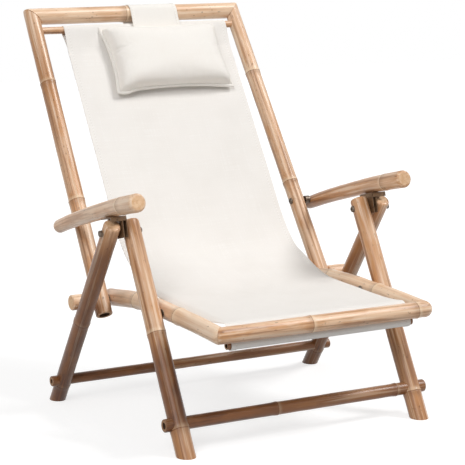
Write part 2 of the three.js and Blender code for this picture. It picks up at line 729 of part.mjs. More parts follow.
// Stub pegs on the back pivot, which bear on the rear faces of the rear legs.
const pegLeanSpace = Math.tan(POLE_LEAN_ANGLE) * PEG_DIAMETER / 2;
const pegInnerX = poleX + poleRadius(POLE_TAIL) + pegLeanSpace + GAP;
const pegOuterX = rearLegX + rearRadiusAtPivot;
const pegLength = pegOuterX - pegInnerX;
const pegBore = { depth: pegLength / 3, wall: CULM_WALL };

function peg() {
  const radius = taper(PEG_DIAMETER, PEG_DIAMETER, pegLength);
  const body = culm({ length: pegLength, radius, startBore: pegBore, endBore: pegBore });
  return cut(body.rotateY(90 * DEG), boltHole(-OVERRUN, pegLength + OVERRUN, 0, 0));
}

function seatFrame() {
  const frame = new THREE.Group();
  frame.position.copy(backPivot);
  frame.add(named('seat_front_bar', seatFrontBar(), bamboo));
  const rod = named('front_canvas_rod', canvasRod(canvasWidth + 2 * FRONT_ROD_STUB), darkBamboo);
  rod.position.copy(frontRodInSeat);
  frame.add(rod);
  const sleeve = named('canvas_front_sleeve', canvasSleeve(), canvas);
  sleeve.position.copy(frontRodInSeat);
  frame.add(sleeve);
  const screwX = railX - railRadiusAt(backPivot.y) - GAP;
  const nutX = pegOuterX - pegBore.depth + GAP;
  const screwLength = nutX + NUT_THICKNESS + GAP - screwX;
  for (const [word, side] of Object.entries(SIDES)) {
    frame.add(named(`seat_rail_${word}`, seatRail(side), bamboo));
    frame.add(fitting(`peg_${word}`, side, peg(), pegInnerX, 0, 0, bamboo));
    frame.add(fitting(`back_pivot_screw_${word}`, side, bolt(screwLength), screwX, 0, 0));
    frame.add(fitting(`back_pivot_washer_${word}`, side, pivotWasher(), railOuterX + GAP, 0, 0));
    frame.add(fitting(`back_pivot_nut_${word}`, side, hexNut(), nutX, 0, 0));
  }
  return frame;
}

// Back frame: local origin at the back pivot, poles along local Z, leaning in toward the top bar.

const poleAxisY = -axisOffset(POLE_TILT);
const armPivotInBack = leaning(LINK_TILT - POLE_TILT, LINK_LENGTH);
const poleTopX = poleX - Math.tan(POLE_LEAN_ANGLE) * POLE_REACH;
const topRodZ = POLE_REACH - TOP_ROD_DROP;

function poleXAt(z) {
  return THREE.MathUtils.lerp(poleX, poleTopX, z / POLE_REACH);
}

function topMitreNormal(side) {
  const down = new THREE.Vector3(side * Math.sin(POLE_LEAN_ANGLE), 0, -Math.cos(POLE_LEAN_ANGLE));
  return down.add(new THREE.Vector3(side, 0, 0)).normalize();
}

function topMitrePoint(side, offset) {
  const corner = new THREE.Vector3(side * poleTopX, poleAxisY, POLE_REACH);
  return corner.addScaledVector(topMitreNormal(side), offset);
}

function backPole(side) {
  const bore = { depth: CULM_BORE_DEPTH, wall: CULM_WALL };
  const nodes = spread(POLE_NODE_SHARES, poleLength);
  const body = culm({ length: poleLength, radius: poleRadius, nodes, startBore: bore });
  move(body, 0, 0, -POLE_TAIL);
  body.rotateY(-side * POLE_LEAN_ANGLE);
  move(body, side * poleX, poleAxisY, 0);
  const screwX = side * poleXAt(armPivotInBack.z);
  const rodX = side * (poleXAt(topRodZ) - poleRadius(POLE_TAIL + topRodZ));
  const reach = POLE_FOOT_DIAMETER;
  const holes = [
    boltHole(side * poleX - reach, side * poleX + reach, 0, 0),
    boltHole(screwX - reach, screwX + reach, armPivotInBack.y, armPivotInBack.z),
    holeAcross(ROD_DIAMETER / 2 + GAP, rodX - side * OVERRUN, rodX + side * ROD_SOCKET_DEPTH,
      poleAxisY, topRodZ, FITTING_FACETS),
  ];
  return keepBeyond(cut(body, ...holes), topMitrePoint(side, GAP / 2), topMitreNormal(side));
}

function topBar() {
  const length = 2 * (poleTopX + POLE_TOP_DIAMETER);
  const radius = taper(TOP_BAR_DIAMETER, TOP_BAR_DIAMETER, length);
  const body = culm({ length, radius, nodes: spread(TOP_BAR_NODE_SHARES, length) });
  let bar = move(body.rotateY(90 * DEG), -length / 2, poleAxisY, POLE_REACH);
  for (const side of Object.values(SIDES)) {
    bar = keepBeyond(bar, topMitrePoint(side, -GAP / 2), topMitreNormal(side).negate());
  }
  return bar;
}

const topRodLength = 2 * (poleXAt(topRodZ) - poleRadius(POLE_TAIL + topRodZ) + ROD_SOCKET_DEPTH - GAP);
const poleRadiusAtArm = poleRadius(POLE_TAIL + LINK_LENGTH);
const armScrewX = poleXAt(armPivotInBack.z) - poleRadiusAtArm - RUNNING_GAP;
const armSpacerX = poleXAt(armPivotInBack.z) + poleRadiusAtArm + RUNNING_GAP;
const armSpacerLength = armX - armRadiusAtPivot - GAP - armSpacerX;
const armScrewLength = armX - armRadiusAtPivot + SCREW_DEPTH / 2 - armScrewX;

// Sling, pillow and strap.

// Shapes a thin box along a curve in the YZ plane: its X across, its Y along, its Z through.
function sheetAlong({
  curve, width, thickness, stepsAcross, stepsAlong, offsetAt = () => 0, shiftAt = () => 0,
}) {
  const box = new THREE.BoxGeometry(width, 1, thickness, stepsAcross, stepsAlong, 1);
  const position = box.attributes.position;
  for (let i = 0; i < position.count; i += 1) {
    const share = position.getY(i) + 1 / 2;
    const across = position.getX(i) / width * 2;
    const tangent = curve.getTangentAt(share);
    const normal = new THREE.Vector3().crossVectors(ACROSS, tangent);
    const lift = position.getZ(i) + offsetAt(share, across);
    const point = curve.getPointAt(share).addScaledVector(normal, lift);
    position.setXYZ(i, position.getX(i) + shiftAt(share), point.y, point.z);
  }
  return box;
}

// A stretch of a curve between two distances along it.
function stretch(curve, from, to, points = SLING_STEPS_ALONG) {
  const total = curve.getLength();
  const picked = [];
  for (let i = 0; i <= points; i += 1) {
    const distance = THREE.MathUtils.lerp(from, to, i / points);
    picked.push(curve.getPointAt(THREE.MathUtils.clamp(distance / total, 0, 1)));
  }
  return new THREE.CatmullRomCurve3(picked);
}

function fromBack(y, z) {
  return new THREE.Vector3(0, y, z).applyAxisAngle(ACROSS, -POLE_TILT);
}

const topBarPlace = fromBack(poleAxisY, POLE_REACH);
const topRodPlace = fromBack(poleAxisY, topRodZ);
const slingTop = fromBack(poleAxisY, topRodZ - sleeveOuter - GAP);
const hip = new THREE.Vector3(0, HIP_OFFSET, HIP_RISE);
const thigh = new THREE.Vector3(0, -THIGH_REACH, THIGH_RISE);
const turnOffBar = FRONT_BAR_DIAMETER / 2 + NODE_SWELL + 2 * GAP + CANVAS_THICKNESS / 2;
const slingFront = cornerInSeat.clone().add(new THREE.Vector3(0, turnOffBar + SLING_TURN_RADIUS, SLING_TURN_RADIUS));
const backDirection = slingTop.clone().sub(hip).normalize();
const thighDirection = thigh.clone().sub(hip).normalize();

// The sling's side view: down from the top rod, round the hip, and along the seat to the front bar.
const slingCurve = new THREE.CatmullRomCurve3([
  slingTop,
  slingTop.clone().lerp(hip, 1 / 3),
  slingTop.clone().lerp(hip, 2 / 3),
  hip.clone().addScaledVector(backDirection, HIP_RADIUS),
  hip.clone()
    .addScaledVector(backDirection, HIP_RADIUS / 4)
    .addScaledVector(thighDirection, HIP_RADIUS / 4),
  hip.clone().addScaledVector(thighDirection, HIP_RADIUS),
  thigh,
  thigh.clone().lerp(slingFront, 1 / 2).sub(new THREE.Vector3(0, 0, SEAT_SAG)),
  slingFront,
]);
const slingLength = slingCurve.getLength();
const hipDistance = slingTop.distanceTo(hip);
const bendFrom = hipDistance - BEND_REACH;
const bendTo = hipDistance + BEND_REACH;

// How far the middle of the sling hangs behind its edges, with its broad lengthwise folds.
function slingOffset(distance, across) {
  const tautness = Math.sin(Math.PI * distance / slingLength);
  const folds = FOLD_DEPTH * Math.cos(Math.PI * CANVAS_FOLDS * across);
  return tautness * (CROSS_SAG * (1 - across * across) + folds);
}

function slingShift(distance) {
  return CANVAS_TOP_SHIFT * Math.max(0, 1 - distance / bendFrom);
}

function slingPiece(from, to) {
  const distanceAt = (share) => THREE.MathUtils.lerp(from, to, share);
  return sheetAlong({
    curve: stretch(slingCurve, from, to),
    width: canvasWidth,
    thickness: CANVAS_THICKNESS,
    stepsAcross: SLING_STEPS_ACROSS,
    stepsAlong: SLING_STEPS_ALONG,
    offsetAt: (share, across) => slingOffset(distanceAt(share), across),
    shiftAt: (share) => slingShift(distanceAt(share)),
  });
}

// The canvas turns down behind the front bar to the sleeve of the front rod.
function frontFold() {
  const offSleeve = sleeveOuter + GAP + CANVAS_THICKNESS / 2;
  const turnCentre = cornerInSeat.clone().add(new THREE.Vector3(0, turnOffBar + SLING_TURN_RADIUS, 0));
  const turn = new THREE.CatmullRomCurve3([
    slingFront.clone().sub(new THREE.Vector3(0, CANVAS_THICKNESS / 2, 0)),
    turnCentre.clone().add(leaning(-45 * DEG, SLING_TURN_RADIUS)),
    turnCentre.clone().add(leaning(-90 * DEG, SLING_TURN_RADIUS)),
    frontRodInSeat.clone().add(leaning(80 * DEG, offSleeve)),
  ]);
  return sheetAlong({
    curve: turn,
    width: canvasWidth,
    thickness: CANVAS_THICKNESS,
    stepsAcross: SLING_STEPS_ACROSS,
    stepsAlong: SLING_STEPS_ALONG,
  });
}

const pillowDistance = PILLOW_HEIGHT / 2 + PILLOW_TOP_DROP;
const pillowUp = slingCurve.getTangentAt(pillowDistance / slingLength).negate();
const pillowTilt = Math.atan2(pillowUp.y, pillowUp.z);
const pillowDepth = PILLOW_SEAM / 2 + PILLOW_BACK_CROWN - PILLOW_SETTLE;
const pillowStandOff = CANVAS_THICKNESS / 2 + GAP + pillowDepth;
const pillowPlace = slingCurve.getPointAt(pillowDistance / slingLength)
  .addScaledVector(new THREE.Vector3().crossVectors(pillowUp.clone().negate(), ACROSS), pillowStandOff);

// A stuffed cushion: crowned faces, drawn-in sides and a flat seam. Local Z up, its front to -Y.
function pillow() {
  const box = new THREE.BoxGeometry(2, 2, 2, PILLOW_STEPS_ACROSS, 1, PILLOW_STEPS_UP);
  const position = box.attributes.position;
  for (let i = 0; i < position.count; i += 1) {
    const across = position.getX(i);
    const up = position.getZ(i);
    const full = Math.sqrt((1 - across ** 4) * (1 - up ** 4));
    const drawnX = PILLOW_DRAW_IN * across ** 3 * (1 - up ** 2);
    const drawnZ = PILLOW_DRAW_IN * up ** 3 * (1 - across ** 2);
    const front = -PILLOW_SEAM / 2 - PILLOW_CROWN * full;
    const back = PILLOW_SEAM / 2 + PILLOW_BACK_CROWN * full;
    position.setXYZ(i,
      across * PILLOW_WIDTH / 2 - drawnX,
      position.getY(i) < 0 ? front : back,
      up * PILLOW_HEIGHT / 2 - drawnZ);
  }
  return box;
}

// A band from the pillow's top seam over the top bar, with its tail hanging behind.
function pillowStrap() {
  const offBar = TOP_BAR_DIAMETER / 2 + GAP + STRAP_THICKNESS / 2;
  const drawnIn = PILLOW_DRAW_IN * (1 - (STRAP_WIDTH / PILLOW_WIDTH) ** 2);
  const seam = PILLOW_HEIGHT / 2 - drawnIn + 2 * GAP;
  const arc = [];
  for (let i = 0; i <= STRAP_ARC_STEPS; i += 1) {
    const angle = THREE.MathUtils.lerp(POLE_TILT - 90 * DEG, 90 * DEG, i / STRAP_ARC_STEPS);
    arc.push(topBarPlace.clone().add(leaning(angle, offBar)));
  }
  const behind = arc[arc.length - 1];
  const path = new THREE.CatmullRomCurve3([
    pillowPlace.clone().addScaledVector(pillowUp, seam),
    ...arc,
    behind.clone().sub(new THREE.Vector3(0, 0, STRAP_TAIL / 2)),
    behind.clone().sub(new THREE.Vector3(0, 0, STRAP_TAIL)),
  ]);
  return sheetAlong({
    curve: path,
    width: STRAP_WIDTH,
    thickness: STRAP_THICKNESS,
    stepsAcross: STRAP_STEPS_ACROSS,
    stepsAlong: STRAP_STEPS_ALONG,
  });
}

// The sling and the pillow stand upright round the back pivot, like the seat frame.
function softParts() {
  const frame = new THREE.Group();
  frame.position.copy(backPivot);
  frame.add(named('canvas_back', slingPiece(0, bendFrom - GAP), canvas));
  frame.add(named('canvas_bend', slingPiece(bendFrom, bendTo), canvas));
  frame.add(named('canvas_seat', slingPiece(bendTo + GAP, slingLength), canvas));
  frame.add(named('canvas_front_fold', frontFold(), canvas));
  const sleeve = named('canvas_top_sleeve', canvasSleeve(), canvas);
  sleeve.position.copy(topRodPlace);
  sleeve.position.x = CANVAS_TOP_SHIFT;
  frame.add(sleeve);
  const cushion = named('pillow', pillow(), pillowCotton);
  cushion.position.copy(pillowPlace);
  cushion.position.x = PILLOW_SHIFT;
  cushion.rotation.x = -pillowTilt;
  frame.add(cushion);
  const strap = named('pillow_strap', pillowStrap(), pillowCotton);
  strap.position.x = PILLOW_SHIFT;
  frame.add(strap);
  return frame;
}

function backFrame() {
  const frame = new THREE.Group();
  frame.position.copy(backPivot);
  frame.rotation.x = -POLE_TILT;
  frame.add(named('top_bar', topBar(), bamboo));
  const rod = named('top_canvas_rod', canvasRod(topRodLength), darkBamboo);
  rod.position.set(0, poleAxisY, topRodZ);
  frame.add(rod);
  const { y, z } = armPivotInBack;
  for (const [word, side] of Object.entries(SIDES)) {
    frame.add(named(`back_pole_${word}`, backPole(side), bamboo));
    const spacer = ringAcross(WASHER_DIAMETER / 2, BOLT_DIAMETER / 2 + GAP, armSpacerLength);
    frame.add(fitting(`arm_pivot_screw_${word}`, side, bolt(armScrewLength), armScrewX, y, z));
    frame.add(fitting(`arm_pivot_spacer_${word}`, side, spacer, armSpacerX, y, z));
  }
  return frame;
}

const chair = new THREE.Group();
chair.add(frontFrame(), rearFrame(), seatFrame(), backFrame(), softParts());
for (const [word, side] of Object.entries(SIDES)) chair.add(armFrame(word, side));
chair.updateMatrixWorld(true);
const bounds = new THREE.Box3().setFromObject(chair, true);
chair.position.x = -(bounds.min.x + bounds.max.x) / 2;
chair.position.y = -(bounds.min.y + bounds.max.y) / 2;

export default chair;
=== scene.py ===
"""Looks of a folding bamboo recliner with a canvas sling and a head pillow.

X runs across the chair, +Y to the rear and +Z up, in metres. Left is the -X side.
"""

import json
import logging
import math
from collections.abc import Callable, Iterable, Iterator, Sequence
from contextlib import contextmanager
from dataclasses import dataclass
from enum import Enum, IntEnum

import bmesh
import bpy
import numpy as np
from mathutils import Matrix, Vector, noise

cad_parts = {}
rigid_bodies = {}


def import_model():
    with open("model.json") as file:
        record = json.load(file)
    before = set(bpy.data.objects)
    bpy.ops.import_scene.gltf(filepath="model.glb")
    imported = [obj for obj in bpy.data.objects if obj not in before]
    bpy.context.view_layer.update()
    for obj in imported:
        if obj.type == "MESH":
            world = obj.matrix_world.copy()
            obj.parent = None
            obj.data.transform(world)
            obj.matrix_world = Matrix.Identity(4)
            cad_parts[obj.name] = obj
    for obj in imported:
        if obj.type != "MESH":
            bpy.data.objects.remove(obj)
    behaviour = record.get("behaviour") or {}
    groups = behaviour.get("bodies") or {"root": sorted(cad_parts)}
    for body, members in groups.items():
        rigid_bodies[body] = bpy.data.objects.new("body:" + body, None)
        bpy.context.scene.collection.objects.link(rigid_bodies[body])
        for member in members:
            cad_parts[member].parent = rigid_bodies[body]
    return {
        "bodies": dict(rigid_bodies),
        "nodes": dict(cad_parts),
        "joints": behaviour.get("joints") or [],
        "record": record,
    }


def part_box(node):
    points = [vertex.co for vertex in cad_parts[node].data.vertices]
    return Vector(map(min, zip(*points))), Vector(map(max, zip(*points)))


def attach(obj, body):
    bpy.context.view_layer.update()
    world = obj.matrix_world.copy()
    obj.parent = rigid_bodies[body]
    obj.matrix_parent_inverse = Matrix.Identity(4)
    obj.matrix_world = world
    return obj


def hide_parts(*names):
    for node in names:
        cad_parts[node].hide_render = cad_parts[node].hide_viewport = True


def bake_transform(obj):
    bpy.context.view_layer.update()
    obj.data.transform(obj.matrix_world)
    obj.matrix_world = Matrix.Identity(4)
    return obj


LOG = logging.getLogger("recliner")
MM = 0.001
ACROSS = Vector((1, 0, 0))
UPWARD = Vector((0, 0, 1))
SIDES = {"left": -1, "right": 1}

Material = bpy.types.Material
Piece = bpy.types.Object
Socket = bpy.types.NodeSocket
Tree = bpy.types.NodeTree
Numbers = tuple[float, ...]
Pair = tuple[float, float]
Profile = tuple[Pair, ...]
Plane = tuple[Vector, Vector]


# Colours and node trees.

def linear(hex_code: str) -> Numbers:
    """Turns an sRGB hex colour to the linear one that a shader takes.

    Args:
        hex_code: Six hex digits, such as "d6b28c".

    Returns:
        Linear red, green, blue and an alpha of one.
    """
    channels = [int(hex_code[i:i + 2], 16) / 255 for i in (0, 2, 4)]
    bright = [c / 12.92 if c <= 0.04045 else ((c + 0.055) / 1.055) ** 2.4 for c in channels]
    return (*bright, 1.0)


def add_node(tree: Tree, kind: str, settings: dict | None = None,
             inputs: dict | None = None) -> bpy.types.Node:
    """Adds a node with its settings and links.

    Args:
        tree: The node tree that gets the node.
        kind: Blender's name for the node's type.
        settings: The node's own properties by name.
        inputs: Values or other nodes' output sockets, by input name or number.

    Returns:
        The new node.
    """
    node = tree.nodes.new(kind)
    for name, value in (settings or {}).items():
        setattr(node, name, value)
    for name, value in (inputs or {}).items():
        if isinstance(value, Socket):
            tree.links.new(value, node.inputs[name])
        else:
            node.inputs[name].default_value = value
    return node


def empty_material(name: str) -> tuple[Material, Tree]:
    """Makes a material whose node tree has nothing in it yet.

    Args:
        name: The material's name.

    Returns:
        The material and its node tree.
    """
    material = bpy.data.materials.new(name)
    material.use_nodes = True
    material.node_tree.nodes.clear()
    return material, material.node_tree


def layered(tree: Tree, base: Socket | tuple,
            layers: Iterable[tuple[Socket, str]]) -> Socket:
    """Lays colours over a base, each where its own mask is.

    Args:
        tree: The material's node tree.
        base: The colour under all the others.
        layers: Pairs of a mask's socket and an sRGB hex colour, the lowest first.

    Returns:
        The socket of the finished colour.
    """
    colour = base
    for mask, hex_code in layers:
        mixed = add_node(tree, "ShaderNodeMix", {"data_type": "RGBA"},
                         {0: mask, 6: colour, 7: linear(hex_code)})
        colour = mixed.outputs[2]
    return colour


@dataclass(frozen=True)
class LacqueredBamboo:
    """Bamboo culm skin, scraped, flame-toasted and clear-lacquered.

    The eye sees a warm straw skin that turns amber and then brown, with broad lengthwise
    streaks, pale streaks painted in as highlight, freckles, a dark scar line with a pale ring
    at each node, and a soft highlight from the lacquer coat.
    """

    name: str = "lacquered_bamboo_skin"
    straw: str = "f0d0b0"
    honey: str = "c98f5b"
    amber: str = "b67a44"
    toasted: str = "5a2f0e"
    ember: str = "a26a34"
    streak: str = "84522c"
    # The colour of the pale streaks that are painted in as highlight.
    painted_highlight_streak: str = "f4dcc2"
    freckle: str = "68432a"
    scar: str = "5e3417"
    ring: str = "efd8b8"
    fibre_width: float = 1.4 * MM
    streak_width: float = 8.0 * MM
    patch_width: float = 26.0 * MM
    freckle_width: float = 5.5 * MM

    def build(self) -> Material:
        """Builds it on the culm's own attributes: straight, node_gap and tone.

        Returns:
            The finished material.
        """
        material, tree = empty_material(self.name)
        straight = add_node(tree, "ShaderNodeAttribute", {"attribute_name": "straight"}).outputs["Vector"]
        gap = add_node(tree, "ShaderNodeAttribute", {"attribute_name": "node_gap"}).outputs["Fac"]
        tone = add_node(tree, "ShaderNodeAttribute", {"attribute_name": "tone"}).outputs["Fac"]
        # A fibre is far longer than it is wide, so the noise is stretched along the culm.
        patterns = {}
        for name, width, stretch, detail in (("fibre", self.fibre_width, 60, 2),
                                             ("streak", self.streak_width, 34, 3),
                                             ("patch", self.patch_width, 3.2, 4),
                                             ("freckle", self.freckle_width, 2.2, 1)):
            scale = (1 / width, 1 / width, 1 / (width * stretch))
            place = add_node(tree, "ShaderNodeVectorMath", {"operation": "MULTIPLY"}, {0: straight, 1: scale})
            patterns[name] = add_node(tree, "ShaderNodeTexNoise", {}, {
                "Vector": place.outputs[0], "Scale": 1.0, "Detail": detail, "Roughness": 0.55}).outputs["Fac"]
        away = add_node(tree, "ShaderNodeMath", {"operation": "ABSOLUTE"}, {0: gap}).outputs[0]
        masks = {}
        for name, source, low, high, to_low, to_high in (
                ("amber", tone, -0.1, 0.7, 0.0, 0.95),
                ("toast", tone, 0.25, 1.0, 0.0, 1.0),
                ("bare", tone, 0.1, 1.0, 1.0, 0.18),
                ("busy", tone, 0.0, 0.3, 0.4, 1.0),
                ("patch", patterns["patch"], 0.42, 0.62, 0.0, 0.8),
                ("glow", patterns["patch"], 0.4, 0.62, 0.0, 0.42),
                ("streak", patterns["streak"], 0.49, 0.66, 0.0, 0.72),
                # Pale streaks painted in as highlight, fewer on the darker culms.
                ("painted_highlight", patterns["streak"], 0.47, 0.34, 0.0, 0.66),
                ("freckle", patterns["freckle"], 0.67, 0.78, 0.0, 0.55),
                ("scorch", gap, -22 * MM, -1 * MM, 0.0, 0.24),
                ("above", gap, -0.6 * MM, 0.6 * MM, 1.0, 0.0),
                ("ring", gap, 13 * MM, 3 * MM, 0.0, 0.45),
                ("below", gap, 0.6 * MM, 1.8 * MM, 0.0, 1.0),
                ("scar", away, 1.1 * MM, 0.3 * MM, 0.0, 0.55)):
            masks[name] = add_node(tree, "ShaderNodeMapRange", {"interpolation_type": "SMOOTHSTEP"}, {
                "Value": source, "From Min": low, "From Max": high,
                "To Min": to_low, "To Max": to_high}).outputs[0]
        for name, limit in (("scorch", "above"), ("ring", "below"), ("ring", "bare"), ("painted_highlight", "bare"),
                            ("glow", "toast"), ("patch", "busy"), ("streak", "busy")):
            masks[name] = add_node(tree, "ShaderNodeMath", {"operation": "MULTIPLY"},
                                   {0: masks[name], 1: masks[limit]}).outputs[0]
        colour = layered(tree, linear(self.straw), (
            (masks["amber"], self.amber), (masks["patch"], self.honey), (masks["toast"], self.toasted),
            (masks["glow"], self.ember), (masks["streak"], self.streak),
            (masks["painted_highlight"], self.painted_highlight_streak), (masks["freckle"], self.freckle),
            (masks["scorch"], self.freckle), (masks["ring"], self.ring), (masks["scar"], self.scar)))
        rough = add_node(tree, "ShaderNodeMapRange", {}, {
            "Value": patterns["streak"], "From Min": 0.3, "From Max": 0.8, "To Min": 0.34, "To Max": 0.52})
        relief = add_node(tree, "ShaderNodeBump", {}, {
            "Height": patterns["fibre"], "Strength": 0.35, "Distance": 0.25 * MM})
        shader = add_node(tree, "ShaderNodeBsdfPrincipled", {}, {
            "Base Color": colour, "Roughness": rough.outputs[0], "Normal": relief.outputs[0],
            "IOR": 1.5, "Specular IOR Level": 0.2, "Coat Weight": 0.55, "Coat Roughness": 0.34, "Coat IOR": 1.5})
        add_node(tree, "ShaderNodeOutputMaterial", {}, {"Surface": shader.outputs[0]})
        return material


@dataclass(frozen=True)
class SawnBamboo:
    """Bamboo end grain, sawn and sanded: pale wood with fine brown pores."""

    name: str = "sawn_bamboo_end"
    wood: str = "f2cda6"
    dusk: str = "dba877"
    pore: str = "7d5638"
    toasted: str = "6f4527"
    pore_spacing: float = 2.4 * MM

    def build(self) -> Material:
        """Builds the material.

        Returns:
            The finished material.
        """
        material, tree = empty_material(self.name)
        straight = add_node(tree, "ShaderNodeAttribute", {"attribute_name": "straight"}).outputs["Vector"]
        # Pores are 0.3 mm wide on the real end, and are drawn coarser so that they show.
        cells = add_node(tree, "ShaderNodeTexVoronoi", {}, {
            "Vector": straight, "Scale": 1 / self.pore_spacing}).outputs["Distance"]
        cloud = add_node(tree, "ShaderNodeTexNoise", {}, {
            "Vector": straight, "Scale": 110.0, "Detail": 3.0}).outputs["Fac"]
        pore = add_node(tree, "ShaderNodeMapRange", {"interpolation_type": "SMOOTHSTEP"}, {
            "Value": cells, "From Min": 0.34, "From Max": 0.16, "To Min": 0.0, "To Max": 0.3}).outputs[0]
        shade = add_node(tree, "ShaderNodeMapRange", {}, {
            "Value": cloud, "From Min": 0.35, "From Max": 0.7, "To Min": 0.0, "To Max": 0.75}).outputs[0]
        tone = add_node(tree, "ShaderNodeAttribute", {"attribute_name": "tone"}).outputs["Fac"]
        toast = add_node(tree, "ShaderNodeMath", {"operation": "MULTIPLY"}, {0: tone, 1: 0.75}).outputs[0]
        colour = layered(tree, linear(self.wood), ((shade, self.dusk), (toast, self.toasted), (pore, self.pore)))
        relief = add_node(tree, "ShaderNodeBump", {"invert": True}, {
            "Height": pore, "Strength": 0.4, "Distance": 0.3 * MM})
        shader = add_node(tree, "ShaderNodeBsdfPrincipled", {}, {
            "Base Color": colour, "Roughness": 0.68, "Normal": relief.outputs[0]})
        add_node(tree, "ShaderNodeOutputMaterial", {}, {"Surface": shader.outputs[0]})
        return material


@dataclass(frozen=True)
class BambooHollow:
    """The inside wall of a culm: dull brown, darkened as painted shade in the bore, and streaked
    along the fibres.
    """

    name: str = "raw_bamboo_hollow"
    # Dull brown, darker than the bare wall as painted shade in the bore.
    pith_and_shade: str = "6b4c33"
    shadow: str = "33231a"

    def build(self) -> Material:
        """Builds the material.

        Returns:
            The finished material.
        """
        material, tree = empty_material(self.name)
        straight = add_node(tree, "ShaderNodeAttribute", {"attribute_name": "straight"}).outputs["Vector"]
        place = add_node(tree, "ShaderNodeVectorMath", {"operation": "MULTIPLY"}, {0: straight, 1: (500, 500, 60)})
        fibre = add_node(tree, "ShaderNodeTexNoise", {}, {
            "Vector": place.outputs[0], "Scale": 1.0, "Detail": 2.0}).outputs["Fac"]
        colour = layered(tree, linear(self.pith_and_shade), ((fibre, self.shadow),))
        relief = add_node(tree, "ShaderNodeBump", {}, {"Height": fibre, "Strength": 0.5, "Distance": 0.4 * MM})
        shader = add_node(tree, "ShaderNodeBsdfPrincipled", {}, {
            "Base Color": colour, "Roughness": 0.9, "Normal": relief.outputs[0]})
        add_node(tree, "ShaderNodeOutputMaterial", {}, {"Surface": shader.outputs[0]})
        return material


@dataclass(frozen=True)
class WovenCotton:
    """Plain-woven cotton: matt, with a thread grid, slubs, and a row of stitches along each hem.
    Shade is painted in between the threads and along each stitched groove.

    It reads the cloth's own attributes: cloth, its place on the flat cut, and hem_gap, the
    distance from its nearest hemmed edge.
    """

    name: str
    cloth: str
    shade: str
    slub: str
    thread: str
    pitch: float
    relief: float
    hem: float
    stitch_length: float = 4.0 * MM

    def build(self) -> Material:
        """Builds the material.

        Returns:
            The finished material.
        """
        material, tree = empty_material(self.name)
        cloth = add_node(tree, "ShaderNodeAttribute", {"attribute_name": "cloth"}).outputs["Vector"]
        edge = add_node(tree, "ShaderNodeAttribute", {"attribute_name": "hem_gap"}).outputs["Fac"]
        # A wave texture has a period of 2 pi / 20 at a scale of one.
        threads = [add_node(tree, "ShaderNodeTexWave", {"bands_direction": axis}, {
            "Vector": cloth, "Scale": math.pi / 10 / self.pitch, "Distortion": 0.6, "Detail": 1.0,
            "Detail Scale": 0.4}).outputs["Fac"] for axis in ("X", "Y")]
        over = add_node(tree, "ShaderNodeTexChecker", {}, {
            "Vector": cloth, "Scale": 1 / self.pitch}).outputs["Fac"]
        weave = add_node(tree, "ShaderNodeMix", {"data_type": "FLOAT"}, {
            0: over, 2: threads[0], 3: threads[1]}).outputs[0]
        slubs = []
        for stretch in ((1 / (3 * self.pitch), 9.0, 1.0), (9.0, 1 / (3 * self.pitch), 1.0)):
            place = add_node(tree, "ShaderNodeVectorMath", {"operation": "MULTIPLY"}, {0: cloth, 1: stretch})
            slubs.append(add_node(tree, "ShaderNodeTexNoise", {}, {
                "Vector": place.outputs[0], "Scale": 1.0, "Detail": 2.0}).outputs["Fac"])
        both = add_node(tree, "ShaderNodeMath", {"operation": "ADD"}, {0: slubs[0], 1: slubs[1]}).outputs[0]
        cloud = add_node(tree, "ShaderNodeTexNoise", {}, {
            "Vector": cloth, "Scale": 9.0, "Detail": 3.0}).outputs["Fac"]
        from_line = add_node(tree, "ShaderNodeMath", {"operation": "SUBTRACT"}, {0: edge, 1: self.hem}).outputs[0]
        off_line = add_node(tree, "ShaderNodeMath", {"operation": "ABSOLUTE"}, {0: from_line}).outputs[0]
        dash = add_node(tree, "ShaderNodeTexWave", {"bands_direction": "DIAGONAL"}, {
            "Vector": cloth, "Scale": math.pi / 10 / self.stitch_length}).outputs["Fac"]
        masks = {}
        for name, source, low, high, top in (
                ("slub", both, 1.02, 1.35, 0.5), ("shade", cloud, 0.4, 0.8, 0.3),
                # grid: painted shade in the low places between the threads.
                ("grid", weave, 0.6, 0.05, 0.3),
                # line: a band of painted shadow along each stitched groove.
                ("line", off_line, 1.1 * MM, 0.3 * MM, 1.0), ("dash", dash, 0.35, 0.6, 1.0)):
            masks[name] = add_node(tree, "ShaderNodeMapRange", {"interpolation_type": "SMOOTHSTEP"}, {
                "Value": source, "From Min": low, "From Max": high, "To Min": 0.0, "To Max": top}).outputs[0]
        stitch = add_node(tree, "ShaderNodeMath", {"operation": "MULTIPLY"},
                          {0: masks["line"], 1: masks["dash"]}).outputs[0]
        # The shade colour goes on in random clouds, and as painted shade in the weave and by the stitches.
        colour = layered(tree, linear(self.cloth), (
            (masks["shade"], self.shade), (masks["slub"], self.slub), (masks["grid"], self.shade),
            (masks["line"], self.shade), (stitch, self.thread)))
        height = add_node(tree, "ShaderNodeMath", {"operation": "MULTIPLY_ADD"},
                          {0: stitch, 1: 1.5, 2: weave}).outputs[0]
        slubbed = add_node(tree, "ShaderNodeMath", {"operation": "MULTIPLY_ADD"},
                           {0: masks["slub"], 1: 0.8, 2: height}).outputs[0]
        relief = add_node(tree, "ShaderNodeBump", {}, {
            "Height": slubbed, "Strength": 0.6, "Distance": self.relief})
        shader = add_node(tree, "ShaderNodeBsdfPrincipled", {}, {
            "Base Color": colour, "Roughness": 0.92, "Normal": relief.outputs[0],
            "Sheen Weight": 0.15, "Sheen Roughness": 0.5})
        add_node(tree, "ShaderNodeOutputMaterial", {}, {"Surface": shader.outputs[0]})
        return material


